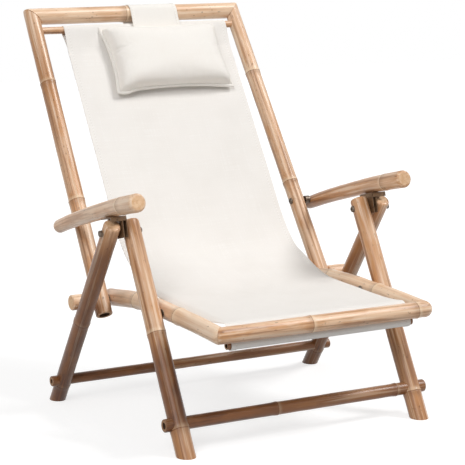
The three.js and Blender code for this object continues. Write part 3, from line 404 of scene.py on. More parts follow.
@dataclass(frozen=True)
class ForgedSteel:
    """Steel: zinc-plated hardware or a brown-painted pressing, with handling marks."""

    name: str
    colour: str
    stain: str
    metallic: float
    roughness: float
    grit: float

    def build(self) -> Material:
        """Builds the material.

        Returns:
            The finished material.
        """
        material, tree = empty_material(self.name)
        place = add_node(tree, "ShaderNodeTexCoord").outputs["Object"]
        grain = add_node(tree, "ShaderNodeTexNoise", {}, {
            "Vector": place, "Scale": 1 / self.grit, "Detail": 2.0}).outputs["Fac"]
        blotch = add_node(tree, "ShaderNodeTexNoise", {}, {
            "Vector": place, "Scale": 160.0, "Detail": 4.0}).outputs["Fac"]
        stained = add_node(tree, "ShaderNodeMapRange", {"interpolation_type": "SMOOTHSTEP"}, {
            "Value": blotch, "From Min": 0.5, "From Max": 0.7, "To Min": 0.0, "To Max": 0.6}).outputs[0]
        colour = layered(tree, linear(self.colour), ((stained, self.stain),))
        rough = add_node(tree, "ShaderNodeMapRange", {}, {
            "Value": blotch, "From Min": 0.3, "From Max": 0.8,
            "To Min": self.roughness - 0.06, "To Max": self.roughness + 0.18}).outputs[0]
        relief = add_node(tree, "ShaderNodeBump", {}, {"Height": grain, "Strength": 0.3, "Distance": 0.15 * MM})
        shader = add_node(tree, "ShaderNodeBsdfPrincipled", {}, {
            "Base Color": colour, "Metallic": self.metallic, "Roughness": rough, "Normal": relief.outputs[0]})
        add_node(tree, "ShaderNodeOutputMaterial", {}, {"Surface": shader.outputs[0]})
        return material


@dataclass(frozen=True)
class Finishes:
    """Every finish on the chair, built once and shared by its pieces."""

    skin: Material
    end: Material
    hollow: Material
    canvas: Material
    pillow: Material
    bracket: Material
    zinc: Material

    @classmethod
    def made(cls) -> "Finishes":
        """Builds the materials from their real names and sizes.

        Returns:
            All of them.
        """
        # Canvas duck has 0.7 mm threads. They are drawn at twice that, so that they show.
        duck = WovenCotton("cotton_duck_canvas", "f1ede8", "e3ded7", "f7f4f0", "f9f6f2",
                           pitch=1.4 * MM, relief=0.22 * MM, hem=11 * MM)
        plain = WovenCotton("brushed_cotton_cover", "f5f1eb", "eee6dc", "f9f6f1", "fcf9f5",
                            pitch=1.1 * MM, relief=0.15 * MM, hem=6 * MM)
        painted = ForgedSteel("brown_painted_steel", "775c42", "3a2a1f",
                              metallic=0.4, roughness=0.42, grit=0.8 * MM)
        plated = ForgedSteel("zinc_plated_steel", "71655a", "43362b",
                             metallic=1.0, roughness=0.45, grit=0.5 * MM)
        return cls(*(finish.build() for finish in (
            LacqueredBamboo(), SawnBamboo(), BambooHollow(), duck, plain, painted, plated)))


# Lines, frames and meshes.

class Line:
    """A smooth line through points, measured by distance along it."""

    def __init__(self, points: Sequence[Vector], steps: int = 24) -> None:
        """Runs a centripetal Catmull-Rom spline through the points.

        Args:
            points: Two or more points in order.
            steps: How many short pieces stand for the line between two points.
        """
        places = [np.array(p, float) for p in points]
        whole = [2 * places[0] - places[1], *places, 2 * places[-1] - places[-2]]
        dense = [places[0]]
        for before, here, there, after in zip(whole, whole[1:], whole[2:], whole[3:]):
            t0, t1, t2 = (math.sqrt(np.linalg.norm(b - a)) for a, b in
                          ((before, here), (here, there), (there, after)))
            m1 = ((here - before) / t0 - (there - before) / (t0 + t1) + (there - here) / t1) * t1
            m2 = ((there - here) / t1 - (after - here) / (t1 + t2) + (after - there) / t2) * t1
            for i in range(1, steps + 1):
                t = i / steps
                dense.append(here + m1 * t + (3 * (there - here) - 2 * m1 - m2) * t ** 2
                             + (2 * (here - there) + m1 + m2) * t ** 3)
        self.points = np.array(dense)
        gaps = np.linalg.norm(np.diff(self.points, axis=0), axis=1)
        self.distances = np.concatenate([[0.0], np.cumsum(gaps)])
        self.length = float(self.distances[-1])

    def at(self, distance: float) -> Vector:
        """The point at a distance from the start."""
        return Vector([float(np.interp(distance, self.distances, self.points[:, i]))
                       for i in range(3)])

    def along(self, distance: float) -> Vector:
        """Measures the line's direction.

        Args:
            distance: How far from the start.

        Returns:
            The unit direction there.
        """
        step = min(2 * MM, self.length / 4)
        low = min(max(distance - step, 0.0), self.length - 2 * step)
        return (self.at(low + 2 * step) - self.at(low)).normalized()


@dataclass(frozen=True)
class Stand:
    """A member's own frame: its origin in the chair and how far its Z leans to the rear."""

    origin: Vector
    lean: float = 0.0

    def at(self, x: float, y: float, z: float) -> Vector:
        """Turns a place in this frame to one in the chair's."""
        return self.origin + self.turned(x, y, z)

    def turned(self, x: float, y: float, z: float) -> Vector:
        """Turns a direction in this frame to one in the chair's."""
        sine, cosine = math.sin(self.lean), math.cos(self.lean)
        return Vector((x, y * cosine + z * sine, z * cosine - y * sine))

    def crosswise(self, half: float, y: float, z: float) -> Line:
        """A line straight across the chair, as long to one side of its middle as to the other."""
        return Line([self.at(x, y, z) for x in (-half, half)])


def bell(offset: float, reach: float) -> float:
    """A smooth hump: one in its middle, and next to nothing beyond twice its reach."""
    return math.exp(-(offset / reach) ** 2)


def clamped(value: float) -> float:
    """The value, or zero or one where it is outside them."""
    return min(1.0, max(0.0, value))


def spread(shares: Iterable[float], length: float) -> Numbers:
    """Turns shares of a length to distances along it."""
    return tuple(share * length for share in shares)


def lofted(rings: Sequence[Sequence[int]]) -> list[list[int]]:
    """Joins rings of vertices by faces.

    Args:
        rings: Each ring's vertices in order. A ring of one vertex closes its end.

    Returns:
        The faces.
    """
    faces = []
    for ring, after in zip(rings, rings[1:]):
        count = max(len(ring), len(after))
        for i in range(count):
            j = (i + 1) % count
            if len(ring) == 1:
                faces.append([ring[0], after[j], after[i]])
            elif len(after) == 1:
                faces.append([ring[i], ring[j], after[0]])
            else:
                faces.append([ring[i], ring[j], after[j], after[i]])
    return faces


def numbered(rows: int, wide: int) -> list[list[int]]:
    """The vertices' numbers in rings of one length."""
    return [list(range(row * wide, (row + 1) * wide)) for row in range(rows)]


def new_object(name: str, vertices: Sequence, faces: Sequence,
               materials: Sequence[Material],
               face_materials: Sequence[int] | None = None) -> Piece:
    """Makes a mesh object and links it to the scene.

    Args:
        name: The object's name.
        vertices: Points in metres.
        faces: Lists of vertex numbers.
        materials: The object's materials in order.
        face_materials: Which of them each face takes.

    Returns:
        The new object.
    """
    mesh = bpy.data.meshes.new(name)
    mesh.from_pydata([tuple(v) for v in vertices], [], faces)
    for material in materials:
        mesh.materials.append(material)
    if face_materials is not None:
        mesh.polygons.foreach_set("material_index", face_materials)
    mesh.shade_smooth()
    mesh.update()
    made = bpy.data.objects.new(name, mesh)
    bpy.context.scene.collection.objects.link(made)
    return made


def set_attribute(target: Piece, name: str, values: Sequence) -> None:
    """Stores a number or a vector at each vertex, for a material to read.

    Args:
        target: The object.
        name: The attribute's name.
        values: One number or vector for each vertex.
    """
    numbers = np.array(values, np.float32)
    kind, slot = ("FLOAT", "value") if numbers.ndim == 1 else ("FLOAT_VECTOR", "vector")
    attribute = target.data.attributes.new(name, kind, "POINT")
    attribute.data.foreach_set(slot, numbers.ravel())


@contextmanager
def edited(target: Piece) -> Iterator[bmesh.types.BMesh]:
    """Opens an object's mesh for editing, and writes it back at the end.

    Args:
        target: The object.

    Yields:
        The mesh as it is edited.
    """
    grid = bmesh.new()
    grid.from_mesh(target.data)
    yield grid
    grid.to_mesh(target.data)
    grid.free()


def apply_modifier(target: Piece, kind: str, **settings: object) -> None:
    """Puts a modifier on an object, keeps its result as the mesh, and takes it off.

    Args:
        target: The object.
        kind: Blender's name for the modifier's type.
        **settings: The modifier's properties.
    """
    modifier = target.modifiers.new(kind.lower(), kind)
    for name, value in settings.items():
        setattr(modifier, name, value)
    solved = target.evaluated_get(bpy.context.evaluated_depsgraph_get())
    mesh = bpy.data.meshes.new_from_object(solved)
    target.modifiers.remove(modifier)
    target.data = mesh


# Bamboo.

class EndCut(Enum):
    """How the end of a culm is left."""

    SAWN = "sawn"
    BORED = "bored"
    ROUND = "round"


class Surface(IntEnum):
    """Which finish a face of a culm takes."""

    SKIN = 0
    END = 1
    HOLLOW = 2


@dataclass(frozen=True)
class Ring:
    """One ring of a culm's mesh, and the finish of the faces between it and the next one."""

    distance: float
    radius: float
    surface: Surface


@dataclass(frozen=True)
class Culm:
    """One length of bamboo, from its thick nodes to its sawn ends."""

    name: str
    body: str
    line: Line
    diameters: Pair
    nodes: Numbers = ()
    tone: Profile = ((0, 0.15),)
    ends: tuple[EndCut, EndCut] = (EndCut.SAWN, EndCut.SAWN)
    planes: tuple[Plane, ...] = ()
    bore_depth: float = 26 * MM
    bore_rim: float = 0.6 * MM
    wall: float = 7 * MM
    edge: float = 2.2 * MM
    seed: int = 0
    sides: int = 40
    plain_step: float = 9 * MM
    node_step: float = 1 * MM
    node_reach: float = 14 * MM
    # A node is a swelling with a sunken scar, which wanders round the culm, and a lip beyond it.
    node_swell: float = 0.9 * MM
    swell_reach: float = 6.5 * MM
    scar_depth: float = 0.55 * MM
    scar_reach: float = 0.9 * MM
    scar_wander: Pair = (0.9 * MM, 0.4 * MM)
    lip_rise: float = 0.35 * MM
    lip_reach: float = 1.3 * MM
    lip_place: float = 2.2 * MM
    waviness: float = 0.35 * MM
    waves_per_metre: float = 28
    out_of_round: float = 0.15 * MM
    # Each culm takes its pattern from a place of its own in the noise, so many metres on.
    seed_step: float = 1.7
    sharp_angle: float = math.radians(38)

    def radius(self, distance: float) -> float:
        """The plain taper's radius at a distance from the start."""
        share = clamped(distance / self.line.length)
        return (self.diameters[0] * (1 - share) + self.diameters[1] * share) / 2

    def end_rings(self, cut: EndCut, radius: float) -> list[Ring]:
        """Shapes one end, from its middle out to the skin.

        Args:
            cut: How the end is left.
            radius: The culm's radius there.

        Returns:
            The end's rings, by distance into the culm.
        """
        if cut is EndCut.ROUND:
            return [Ring(radius * (1 - math.cos(a)), radius * math.sin(a), Surface.SKIN)
                    for a in map(math.radians, range(0, 91, 15))]
        edge = [Ring(self.edge * (1 - math.cos(a)), radius - self.edge * (1 - math.sin(a)),
                     Surface.SKIN) for a in map(math.radians, (0, 22, 45, 68, 90))]
        if cut is EndCut.SAWN:
            return [Ring(0.0, 0.0, Surface.END), Ring(0.0, radius / 2, Surface.END), *edge]
        inner = radius - self.wall
        return [Ring(self.bore_depth, 0.0, Surface.HOLLOW),
                Ring(self.bore_depth, inner, Surface.HOLLOW),
                Ring(self.bore_depth / 2, inner, Surface.HOLLOW),
                Ring(self.bore_rim, inner, Surface.END),
                Ring(0.0, inner + self.bore_rim, Surface.END), *edge]

    def rings(self) -> list[Ring]:
        """Lines up the culm's rings, close together at each node.

        Returns:
            All of them, from the middle of one end face to the middle of the other.
        """
        length = self.line.length
        count = max(2, round(length / self.plain_step))
        plain = (length * i / count for i in range(count + 1))
        stations = [d for d in plain if all(abs(d - n) > self.node_reach for n in self.nodes)]
        steps = round(self.node_reach / self.node_step)
        for node in self.nodes:
            stations += [node + i * self.node_step for i in range(-steps, steps + 1)]
        start = self.end_rings(self.ends[0], self.radius(0.0))
        finish = self.end_rings(self.ends[1], self.radius(length))
        first = start[-1].distance + 2 * self.edge
        last = length - finish[-1].distance - 2 * self.edge
        plain_rings = (Ring(d, self.radius(d), Surface.SKIN)
                       for d in sorted(stations) if first < d < last)
        mirrored = [Ring(length - ring.distance, ring.radius, before.surface)
                    for ring, before in zip(finish[::-1], [*finish[-2::-1], finish[0]])]
        return [*start, *plain_rings, *mirrored]

    def node_gap(self, distance: float, angle: float) -> float:
        """Measures how far a place lies beyond its nearest node, whose scar wanders.

        Args:
            distance: The place's distance along the culm.
            angle: Its angle round the culm.

        Returns:
            The distance, which is negative before the node.
        """
        broad, fine = self.scar_wander
        gap = 1.0
        for number, node in enumerate(self.nodes):
            wander = (broad * math.sin(angle + self.seed + number)
                      + fine * math.sin(3 * angle + self.seed))
            gap = min(gap, distance - node - wander, key=abs)
        return gap

    def relief(self, gap: float, place: Vector, angle: float) -> float:
        """Measures how far the skin stands off the plain taper.

        Args:
            gap: The distance beyond the nearest node.
            place: The place on the straightened culm.
            angle: Its angle round the culm.

        Returns:
            The node's swelling, scar and lip, with the skin's waviness.
        """
        swell = self.node_swell * bell(gap, self.swell_reach)
        scar = self.scar_depth * bell(gap, self.scar_reach)
        lip = self.lip_rise * bell(gap - self.lip_place, self.lip_reach)
        wave = (self.waviness * noise.noise(place * self.waves_per_metre)
                + self.out_of_round * math.cos(2 * angle + self.seed))
        return swell - scar + lip + wave

    def build(self, finishes: Finishes) -> Piece:
        """Builds the culm, cuts it by its planes, and lets it ride on its body.

        Args:
            finishes: The chair's materials.

        Returns:
            The culm's object, which replaces the solid of the same name.
        """
        vertices, straight, gaps, tones, rows = [], [], [], [], []
        rings = self.rings()
        for ring in rings:
            centre, along = self.line.at(ring.distance), self.line.along(ring.distance)
            # The first vertex is to the side, or above on a culm that runs across the chair.
            side = ACROSS if abs(along.x) < math.sqrt(0.5) else UPWARD
            side = (side - along * side.dot(along)).normalized()
            up = along.cross(side)
            tone = float(np.interp(ring.distance / self.line.length, *zip(*self.tone)))
            count = self.sides if ring.radius > 0 else 1
            rows.append(range(len(vertices), len(vertices) + count))
            for i in range(count):
                angle = math.tau * i / self.sides
                cosine, sine = math.cos(angle), math.sin(angle)
                place = Vector((cosine, sine, 0)) * ring.radius
                place.z = ring.distance + self.seed_step * self.seed
                gap = self.node_gap(ring.distance, angle)
                radius = ring.radius
                if ring.surface is Surface.SKIN and count > 1:
                    radius += self.relief(gap, place, angle)
                vertices.append(centre + side * (cosine * radius) + up * (sine * radius))
                straight.append(place)
                gaps.append(gap)
                tones.append(tone)
        surfaces = [int(ring.surface) for ring in rings[:-1] for _ in range(self.sides)]
        made = new_object(self.name, vertices, lofted(rows),
                          (finishes.skin, finishes.end, finishes.hollow), surfaces)
        set_attribute(made, "straight", straight)
        set_attribute(made, "node_gap", gaps)
        set_attribute(made, "tone", tones)
        for plane in self.planes:
            self.cut(made, *plane)
        made.data.set_sharp_from_angle(angle=self.sharp_angle)
        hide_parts(self.name.removesuffix("_culm"))
        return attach(made, self.body)

    def cut(self, made: Piece, point: Vector, normal: Vector) -> None:
        """Cuts the culm by a plane, and closes the cut with end grain.

        Args:
            made: The culm's object.
            point: A point of the plane.
            normal: The plane's normal, on the side that is kept.
        """
        with edited(made) as grid:
            bmesh.ops.bisect_plane(grid, geom=[*grid.verts, *grid.edges, *grid.faces],
                                   plane_co=point, plane_no=normal, clear_inner=True)
            rim = [edge for edge in grid.edges if edge.is_boundary]
            for face in bmesh.ops.holes_fill(grid, edges=rim, sides=0)["faces"]:
                face.material_index = int(Surface.END)
                face.smooth = False


def even_culm(name: str, body: str, line: Line, diameter: float, nodes: Iterable[float],
              tone: Profile, cut: EndCut, **sizes: object) -> Culm:
    """Describes a straight culm of one thickness, with both ends alike.

    Args:
        name: The culm's name.
        body: The body that it rides on.
        line: Its centre line.
        diameter: Its thickness.
        nodes: Its nodes, as shares of its length.
        tone: How toasted it is, by shares of its length.
        cut: How both ends are left.
        **sizes: The culm's other fields.

    Returns:
        The culm.
    """
    return Culm(name, body, line, (diameter, diameter), spread(nodes, line.length), tone,
                (cut, cut), **sizes)


def canvas_rod(name: str, body: str, line: Line, tone: float, seed: int) -> Culm:
    """Describes one of the thin bored rods that the canvas goes round."""
    return even_culm(name, body, line, 18 * MM, (), ((0, tone),), EndCut.BORED,
                     wall=4 * MM, edge=1 * MM, seed=seed)


def mitred(corner: Vector, normal: Vector, inward: int, gap: float = 0.15 * MM) -> Plane:
    """The plane of a mitred corner, with its normal to one piece (1) or to the other (-1)."""
    return corner + normal * (inward * gap), normal * inward


@dataclass(frozen=True)
class Linkage:
    """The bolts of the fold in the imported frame, each with a frame of its own."""

    leg: Vector
    back: Vector

    @classmethod
    def of(cls, joints: Iterable[dict]) -> "Linkage":
        """Reads the bolts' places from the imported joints."""
        places = {joint["name"]: Vector(joint["pos_m"]) for joint in joints}
        return cls(places["rear_fold"], places["back_fold"])


@dataclass(frozen=True)
class LegPair:
    """Two legs that are cut flat at the floor, and the stretcher through them.

    The defaults are those of the front legs.
    """

    pivot: Vector
    word: str = "front"
    lean: float = math.radians(28.9)
    leg_x: float = 0.3055
    axis_y: float = -0.0028
    below: float = 0.5446
    above: float = 0.024
    diameters: Pair = (0.043, 0.041)
    nodes: Numbers = (0.0827, 0.3015)
    left_tone: Profile = ((0, 0.5), (0.14, 0.45), (0.15, 0.7), (0.21, 1.1), (0.38, 1.0),
                          (0.52, 0.42), (0.54, 0.34), (1, 0.36))
    right_tone: Profile = ((0, 0.5), (0.14, 0.45), (0.15, 0.42), (0.21, 0.52), (0.35, 0.44),
                           (0.52, 0.32), (0.54, 0.32), (1, 0.36))
    stretcher_z: float = -0.4489
    stretcher_half: float = 0.3404
    stretcher_diameter: float = 0.029
    stretcher_nodes: Numbers = (0.41, 0.88)
    stretcher_tone: Profile = ((0, 0.92), (0.4, 0.86), (0.42, 0.7), (1, 0.75))
    seed: int = 3

    @classmethod
    def rear(cls, pivot: Vector) -> "LegPair":
        """Describes the rear legs, which are thinner and darker and lean the other way.

        Args:
            pivot: The leg bolts' place.

        Returns:
            The rear legs.
        """
        return cls(
            pivot, "rear", math.radians(-34.435), 0.3580, 0.0, 0.5786,
            diameters=(0.0375, 0.040), nodes=(0.0844, 0.2953), seed=11,
            left_tone=((0, 1.0), (0.25, 0.95), (0.48, 0.85), (0.5, 0.9), (0.85, 0.75), (1, 0.3)),
            right_tone=((0, 0.95), (0.25, 0.85), (0.48, 0.7), (0.5, 0.7), (0.85, 0.55), (1, 0.3)),
            stretcher_z=-0.4838, stretcher_half=0.3899, stretcher_diameter=0.025,
            stretcher_nodes=(0.37,),
            stretcher_tone=((0, 0.88), (0.36, 0.8), (0.38, 0.52), (1, 0.66)))

    def culms(self) -> Iterator[Culm]:
        """Describes the legs and the stretcher.

        Yields:
            Each culm in turn.
        """
        stand = Stand(self.pivot, self.lean)
        floor = (Vector((0, 0, 0)), UPWARD)
        body = f"{self.word}_legs"
        for side_word, side in SIDES.items():
            line = Line([stand.at(side * self.leg_x, self.axis_y, z)
                         for z in (-self.below, self.above)])
            yield Culm(f"{self.word}_leg_{side_word}_culm", body, line, self.diameters, self.nodes,
                       self.left_tone if side < 0 else self.right_tone,
                       planes=(floor,), seed=self.seed + side, edge=6 * MM)
        line = stand.crosswise(self.stretcher_half, self.axis_y, self.stretcher_z)
        yield even_culm(f"{self.word}_stretcher_culm", body, line, self.stretcher_diameter,
                        self.stretcher_nodes, self.stretcher_tone, EndCut.BORED,
                        seed=self.seed + 4)


@dataclass(frozen=True)
class SeatFrame:
    """The arched seat rails, mitred to the front bar, with the front rod and the pegs."""

    pivot: Vector
    rail_x: float = 0.261506
    rail: Profile = (
        (0.03173, -0.00412), (0.0, 0.0), (-0.11074, 0.01438), (-0.21654, 0.01891),
        (-0.27802, 0.01798), (-0.39181, 0.01614), (-0.50551, 0.0113), (-0.52449, 0.01049))
    corner: Pair = (-0.50551, 0.0113)
    rail_diameters: Pair = (0.041, 0.038)
    rail_nodes: Numbers = (0.28, 0.64)
    rail_tone: Profile = ((0, 0.08), (0.27, 0.0), (0.29, -0.08), (1, -0.08))
    bar_diameter: float = 0.037
    bar_nodes: Numbers = (0.43, 0.925)
    bar_tone: Profile = ((0, 0.24), (0.42, 0.22), (0.44, 0.18), (1, 0.18))
    rod: Pair = (-0.48985, -0.01583)
    rod_half: float = 0.238
    peg_x: Pair = (0.324785, 0.377943)
    peg_diameter: float = 0.0365
    peg_bore: float = 17.7 * MM

    def mitre(self, side: int, inward: int) -> Plane:
        """The plane of a corner, with its normal to the rail (1) or to the bar (-1)."""
        corner = self.pivot + Vector((side * self.rail_x, *self.corner))
        return mitred(corner, Vector((side, 1, 0)).normalized(), inward)

    def culms(self) -> Iterator[Culm]:
        """Describes the rails, pegs, front bar and canvas rod.

        Yields:
            Each culm in turn.
        """
        for word, side in SIDES.items():
            line = Line([self.pivot + Vector((side * self.rail_x, y, z)) for y, z in self.rail])
            yield Culm(f"seat_rail_{word}_culm", "seat", line, self.rail_diameters,
                       spread(self.rail_nodes, line.length), self.rail_tone,
                       (EndCut.SAWN, EndCut.ROUND), (self.mitre(side, 1),), seed=20 + side)
            ends = [self.pivot + Vector((side * x, 0, 0)) for x in self.peg_x]
            yield Culm(f"peg_{word}_culm", "seat", Line(ends), (self.peg_diameter,) * 2, (),
                       ((0, 0.1),), (EndCut.BORED, EndCut.SAWN), bore_depth=self.peg_bore,
                       seed=24 + side, edge=3 * MM)
        stand = Stand(self.pivot)
        bar = stand.crosswise(self.rail_x + self.bar_diameter / 2, *self.corner)
        yield even_culm("seat_front_bar_culm", "seat", bar, self.bar_diameter, self.bar_nodes,
                        self.bar_tone, EndCut.ROUND, seed=28,
                        planes=tuple(self.mitre(side, -1) for side in SIDES.values()))
        yield canvas_rod("front_canvas_rod_culm", "seat",
                         stand.crosswise(self.rod_half, *self.rod), 0.7, 31)


@dataclass(frozen=True)
class BackFrame:
    """The two long poles, which lean in to the mitred top bar, and the top canvas rod."""

    pivot: Vector
    lean: float = math.radians(33.5)
    inward: float = math.radians(1.5)
    pole_x: float = 0.304306
    axis_y: float = -0.005234
    tail: float = 0.042
    reach: float = 0.762
    over: float = 0.028
    pole_diameters: Pair = (0.0395, 0.0375)
    pole_nodes: Numbers = (0.3545, 0.7384)
    left_tone: Profile = ((0, 0.4), (0.04, 0.3), (0.346, 0.24), (0.36, 0.28), (0.6, 0.38),
                          (0.731, 0.5), (0.746, 0.48), (1, 0.32))
    right_tone: Profile = ((0, 0.45), (0.04, 0.3), (0.346, 0.18), (0.36, 0.2), (0.731, 0.3),
                           (0.746, 0.15), (1, 0.05))
    bar_diameter: float = 0.041
    bar_nodes: Numbers = (0.448,)
    bar_tone: Profile = ((0, 0.05), (0.44, 0.1), (0.46, 0.12), (1, 0.04))
    rod_z: float = 0.721
    rod_half: float = 0.2783

    @property
    def stand(self) -> Stand:
        """The back's own frame on its pivot."""
        return Stand(self.pivot, self.lean)

    @property
    def corner_x(self) -> float:
        """How far the top corners are from the chair's middle."""
        return self.pole_x - math.tan(self.inward) * self.reach

    def pole_at(self, side: int, along: float) -> Vector:
        """A place on a pole's centre line, by its distance from the pivot's level."""
        x = self.pole_x - math.sin(self.inward) * along
        return self.stand.at(side * x, self.axis_y, math.cos(self.inward) * along)

    def mitre(self, side: int, inward: int) -> Plane:
        """Finds the plane of a corner.

        Args:
            side: Which side of the chair.
            inward: Whether its normal is to the pole (1) or to the bar (-1).

        Returns:
            The plane.
        """
        flat = Vector((side * (1 + math.sin(self.inward)), 0, -math.cos(self.inward))).normalized()
        corner = self.stand.at(side * self.corner_x, self.axis_y, self.reach)
        return mitred(corner, self.stand.turned(*flat), inward)

    def culms(self) -> Iterator[Culm]:
        """Describes the poles, top bar and top canvas rod.

        Yields:
            Each culm in turn.
        """
        for word, side in SIDES.items():
            line = Line([self.pole_at(side, -self.tail),
                         self.pole_at(side, self.reach + self.over)])
            yield Culm(f"back_pole_{word}_culm", "back", line, self.pole_diameters,
                       spread(self.pole_nodes, line.length),
                       self.left_tone if side < 0 else self.right_tone,
                       (EndCut.BORED, EndCut.ROUND), (self.mitre(side, 1),), seed=40 + side)
        bar = self.stand.crosswise(self.corner_x + self.over, self.axis_y, self.reach)
        yield even_culm("top_bar_culm", "back", bar, self.bar_diameter, self.bar_nodes,
                        self.bar_tone, EndCut.ROUND, seed=45,
                        planes=tuple(self.mitre(side, -1) for side in SIDES.values()))
        rod = self.stand.crosswise(self.rod_half, self.axis_y, self.rod_z)
        yield canvas_rod("top_canvas_rod_culm", "back", rod, 0.3, 48)


@dataclass(frozen=True)
class Armrest:
    """One bent armrest on its steel bracket."""

    pivot: Vector
    word: str
    arm_x: float = 0.348
    curve: Profile = (
        (-0.122, 0.084), (-0.06149, 0.07037), (0.01595, 0.05155), (0.09296, 0.03114),
        (0.16976, 0.00993), (0.24185, -0.0117), (0.30503, -0.03234))
    diameters: Pair = (0.042, 0.032)
    nodes: Numbers = (0.17,)
    left_tone: Profile = ((0, 0.07), (0.16, 0.09), (0.18, 0.1), (1, 0.14))
    right_tone: Profile = ((0, 0.24), (0.16, 0.34), (0.18, 0.36), (1, 0.5))
    bracket_lean: float = math.radians(14.197)
    bracket_x: float = 0.326342
    bracket_top: float = 0.033845
    bracket_length: float = 0.055
    bracket_width: float = 0.0114
    bracket_below: float = 0.014
    plate: float = 0.038658
    sheet: float = 0.002
    lip: float = 0.011
    rounding: float = 0.7 * MM
    sharp_angle: float = math.radians(50)

    @property
    def side(self) -> int:
        """Which side of the chair the armrest is on."""
        return SIDES[self.word]

    @property
    def body(self) -> str:
        """The body that the armrest rides on."""
        return f"arm_{self.word}"

    def culm(self) -> Culm:
        """Describes the bent culm, thick at its front end.

        Returns:
            The culm.
        """
        line = Line([self.pivot + Vector((self.side * self.arm_x, y, z)) for y, z in self.curve])
        return Culm(f"armrest_{self.word}_culm", self.body, line, self.diameters,
                    spread(self.nodes, line.length),
                    self.left_tone if self.side < 0 else self.right_tone,
                    seed=55 + self.side, edge=6 * MM, node_swell=0.4 * MM)

    def bracket(self, finishes: Finishes) -> Piece:
        """Bends the channel that straddles the bolt, with its plate and front lip, from a sheet.

        Args:
            finishes: The chair's materials.

        Returns:
            The bracket's object, which rides on the arm.
        """
        top, inner = self.bracket_top, self.bracket_width - self.sheet
        under = top - self.sheet
        channel = [
            (0, -self.bracket_below), (self.sheet, -self.bracket_below), (self.sheet, under),
            (inner, under), (inner, -self.bracket_below), (self.bracket_width, -self.bracket_below),
            (self.bracket_width, under), (self.plate, under), (self.plate, top), (0, top)]
        lip = [(0, top - self.lip), (self.plate, top - self.lip), (self.plate, top), (0, top)]
        half = self.bracket_length / 2
        stand = Stand(self.pivot, self.bracket_lean)
        vertices, faces = [], []
        for shape, rear in ((channel, half), (lip, self.sheet - half)):
            first, count = len(vertices), len(shape)
            for y in (rear, -half):
                vertices += [stand.at(self.side * (self.bracket_x + x), y, z) for x, z in shape]
            ends = [list(range(first + k, first + k + count)) for k in (0, count)]
            faces += [ends[0], ends[1][::-1], *(face[::-1] for face in lofted(ends))]
        made = new_object(f"arm_bracket_{self.word}_pressing", vertices, faces,
                          (finishes.bracket,))
        with edited(made) as grid:
            bmesh.ops.recalc_face_normals(grid, faces=grid.faces)
            bmesh.ops.bevel(grid, geom=grid.edges[:], offset=self.rounding, segments=2,
                            profile=0.5, affect="EDGES")
        made.data.shade_smooth()
        made.data.set_sharp_from_angle(angle=self.sharp_angle)
        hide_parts(f"arm_bracket_{self.word}")
        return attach(made, self.body)


@dataclass(frozen=True)
class Turned:
    """One row of a turned fitting: how far along its axis, how wide, and whether six-sided."""

    distance: float
    radius: float
    hexagonal: bool = False


@dataclass(frozen=True)
class Fastener:
    """A turned steel fitting."""

    name: str
    body: str
    origin: Vector
    axis: Vector
    rows: tuple[Turned, ...]
    sides: int = 36
    sharp_angle: float = math.radians(30)

    def build(self, finishes: Finishes) -> Piece:
        """Turns the rows about the axis, and lets the fitting ride on its body.

        Args:
            finishes: The chair's materials.

        Returns:
            The fitting's object, which replaces the solid of the same name.
        """
        side = self.axis.orthogonal().normalized()
        up = self.axis.cross(side).normalized()
        half_flat = math.radians(30)
        vertices = []
        for row in self.rows:
            for i in range(self.sides):
                angle = math.tau * i / self.sides
                wide = row.radius
                if row.hexagonal:
                    wide *= math.cos(half_flat) / math.cos(angle % math.radians(60) - half_flat)
                vertices.append(self.origin + self.axis * row.distance
                                + (side * math.cos(angle) + up * math.sin(angle)) * wide)
        rings = numbered(len(self.rows), self.sides)
        closed = self.rows[0] == self.rows[-1]
        ends = [] if closed else [rings[0][::-1], rings[-1]]
        made = new_object(f"{self.name}_fitting", vertices, lofted(rings) + ends,
                          (finishes.zinc,))
        if closed:
            with edited(made) as grid:
                bmesh.ops.remove_doubles(grid, verts=grid.verts, dist=1e-7)
        made.data.set_sharp_from_angle(angle=self.sharp_angle)
        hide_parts(self.name)
        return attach(made, self.body)


@dataclass(frozen=True)
class Screw:
    """The sizes of a bolt or a screw with a domed head and a six-sided socket."""

    head: float
    shank: float
    rise: float
    socket: float
    socket_depth: float = 0.0025
    # The dome begins this far out from the socket, stops at this angle, and is this flat.
    socket_rim: float = 0.3 * MM
    dome_from: float = 0.6 * MM
    dome_stop: float = math.radians(80)
    dome_power: float = 0.8
    # The socket, the head's straight rim and the tip's chamfer, as shares of their piece.
    socket_share: float = 0.7
    rim_share: float = 0.15
    tip_share: float = 0.1

    def rows(self, length: float) -> tuple[Turned, ...]:
        """Shapes the socket, the dome, and a shank with a chamfered tip.

        Args:
            length: How far the shank reaches below the head.

        Returns:
            The fitting's rows.
        """
        head, shank, socket = self.head / 2, self.shank / 2, self.socket / 2
        depth = min(self.socket_depth, self.rise * self.socket_share)
        start = math.asin((socket + self.dome_from) / head)
        turn = (start + (self.dome_stop - start) * i / 5 for i in range(6))
        return (
            Turned(depth - self.rise, socket, True), Turned(-self.rise, socket, True),
            Turned(-self.rise, socket + self.socket_rim),
            *(Turned(-self.rise * math.cos(angle) ** self.dome_power, head * math.sin(angle))
              for angle in turn),
            Turned(-self.rim_share * self.rise, head), Turned(0.0, head), Turned(0.0, shank),
            Turned(length - self.tip_share * self.shank, shank),
            Turned(length, shank - self.tip_share * self.shank))


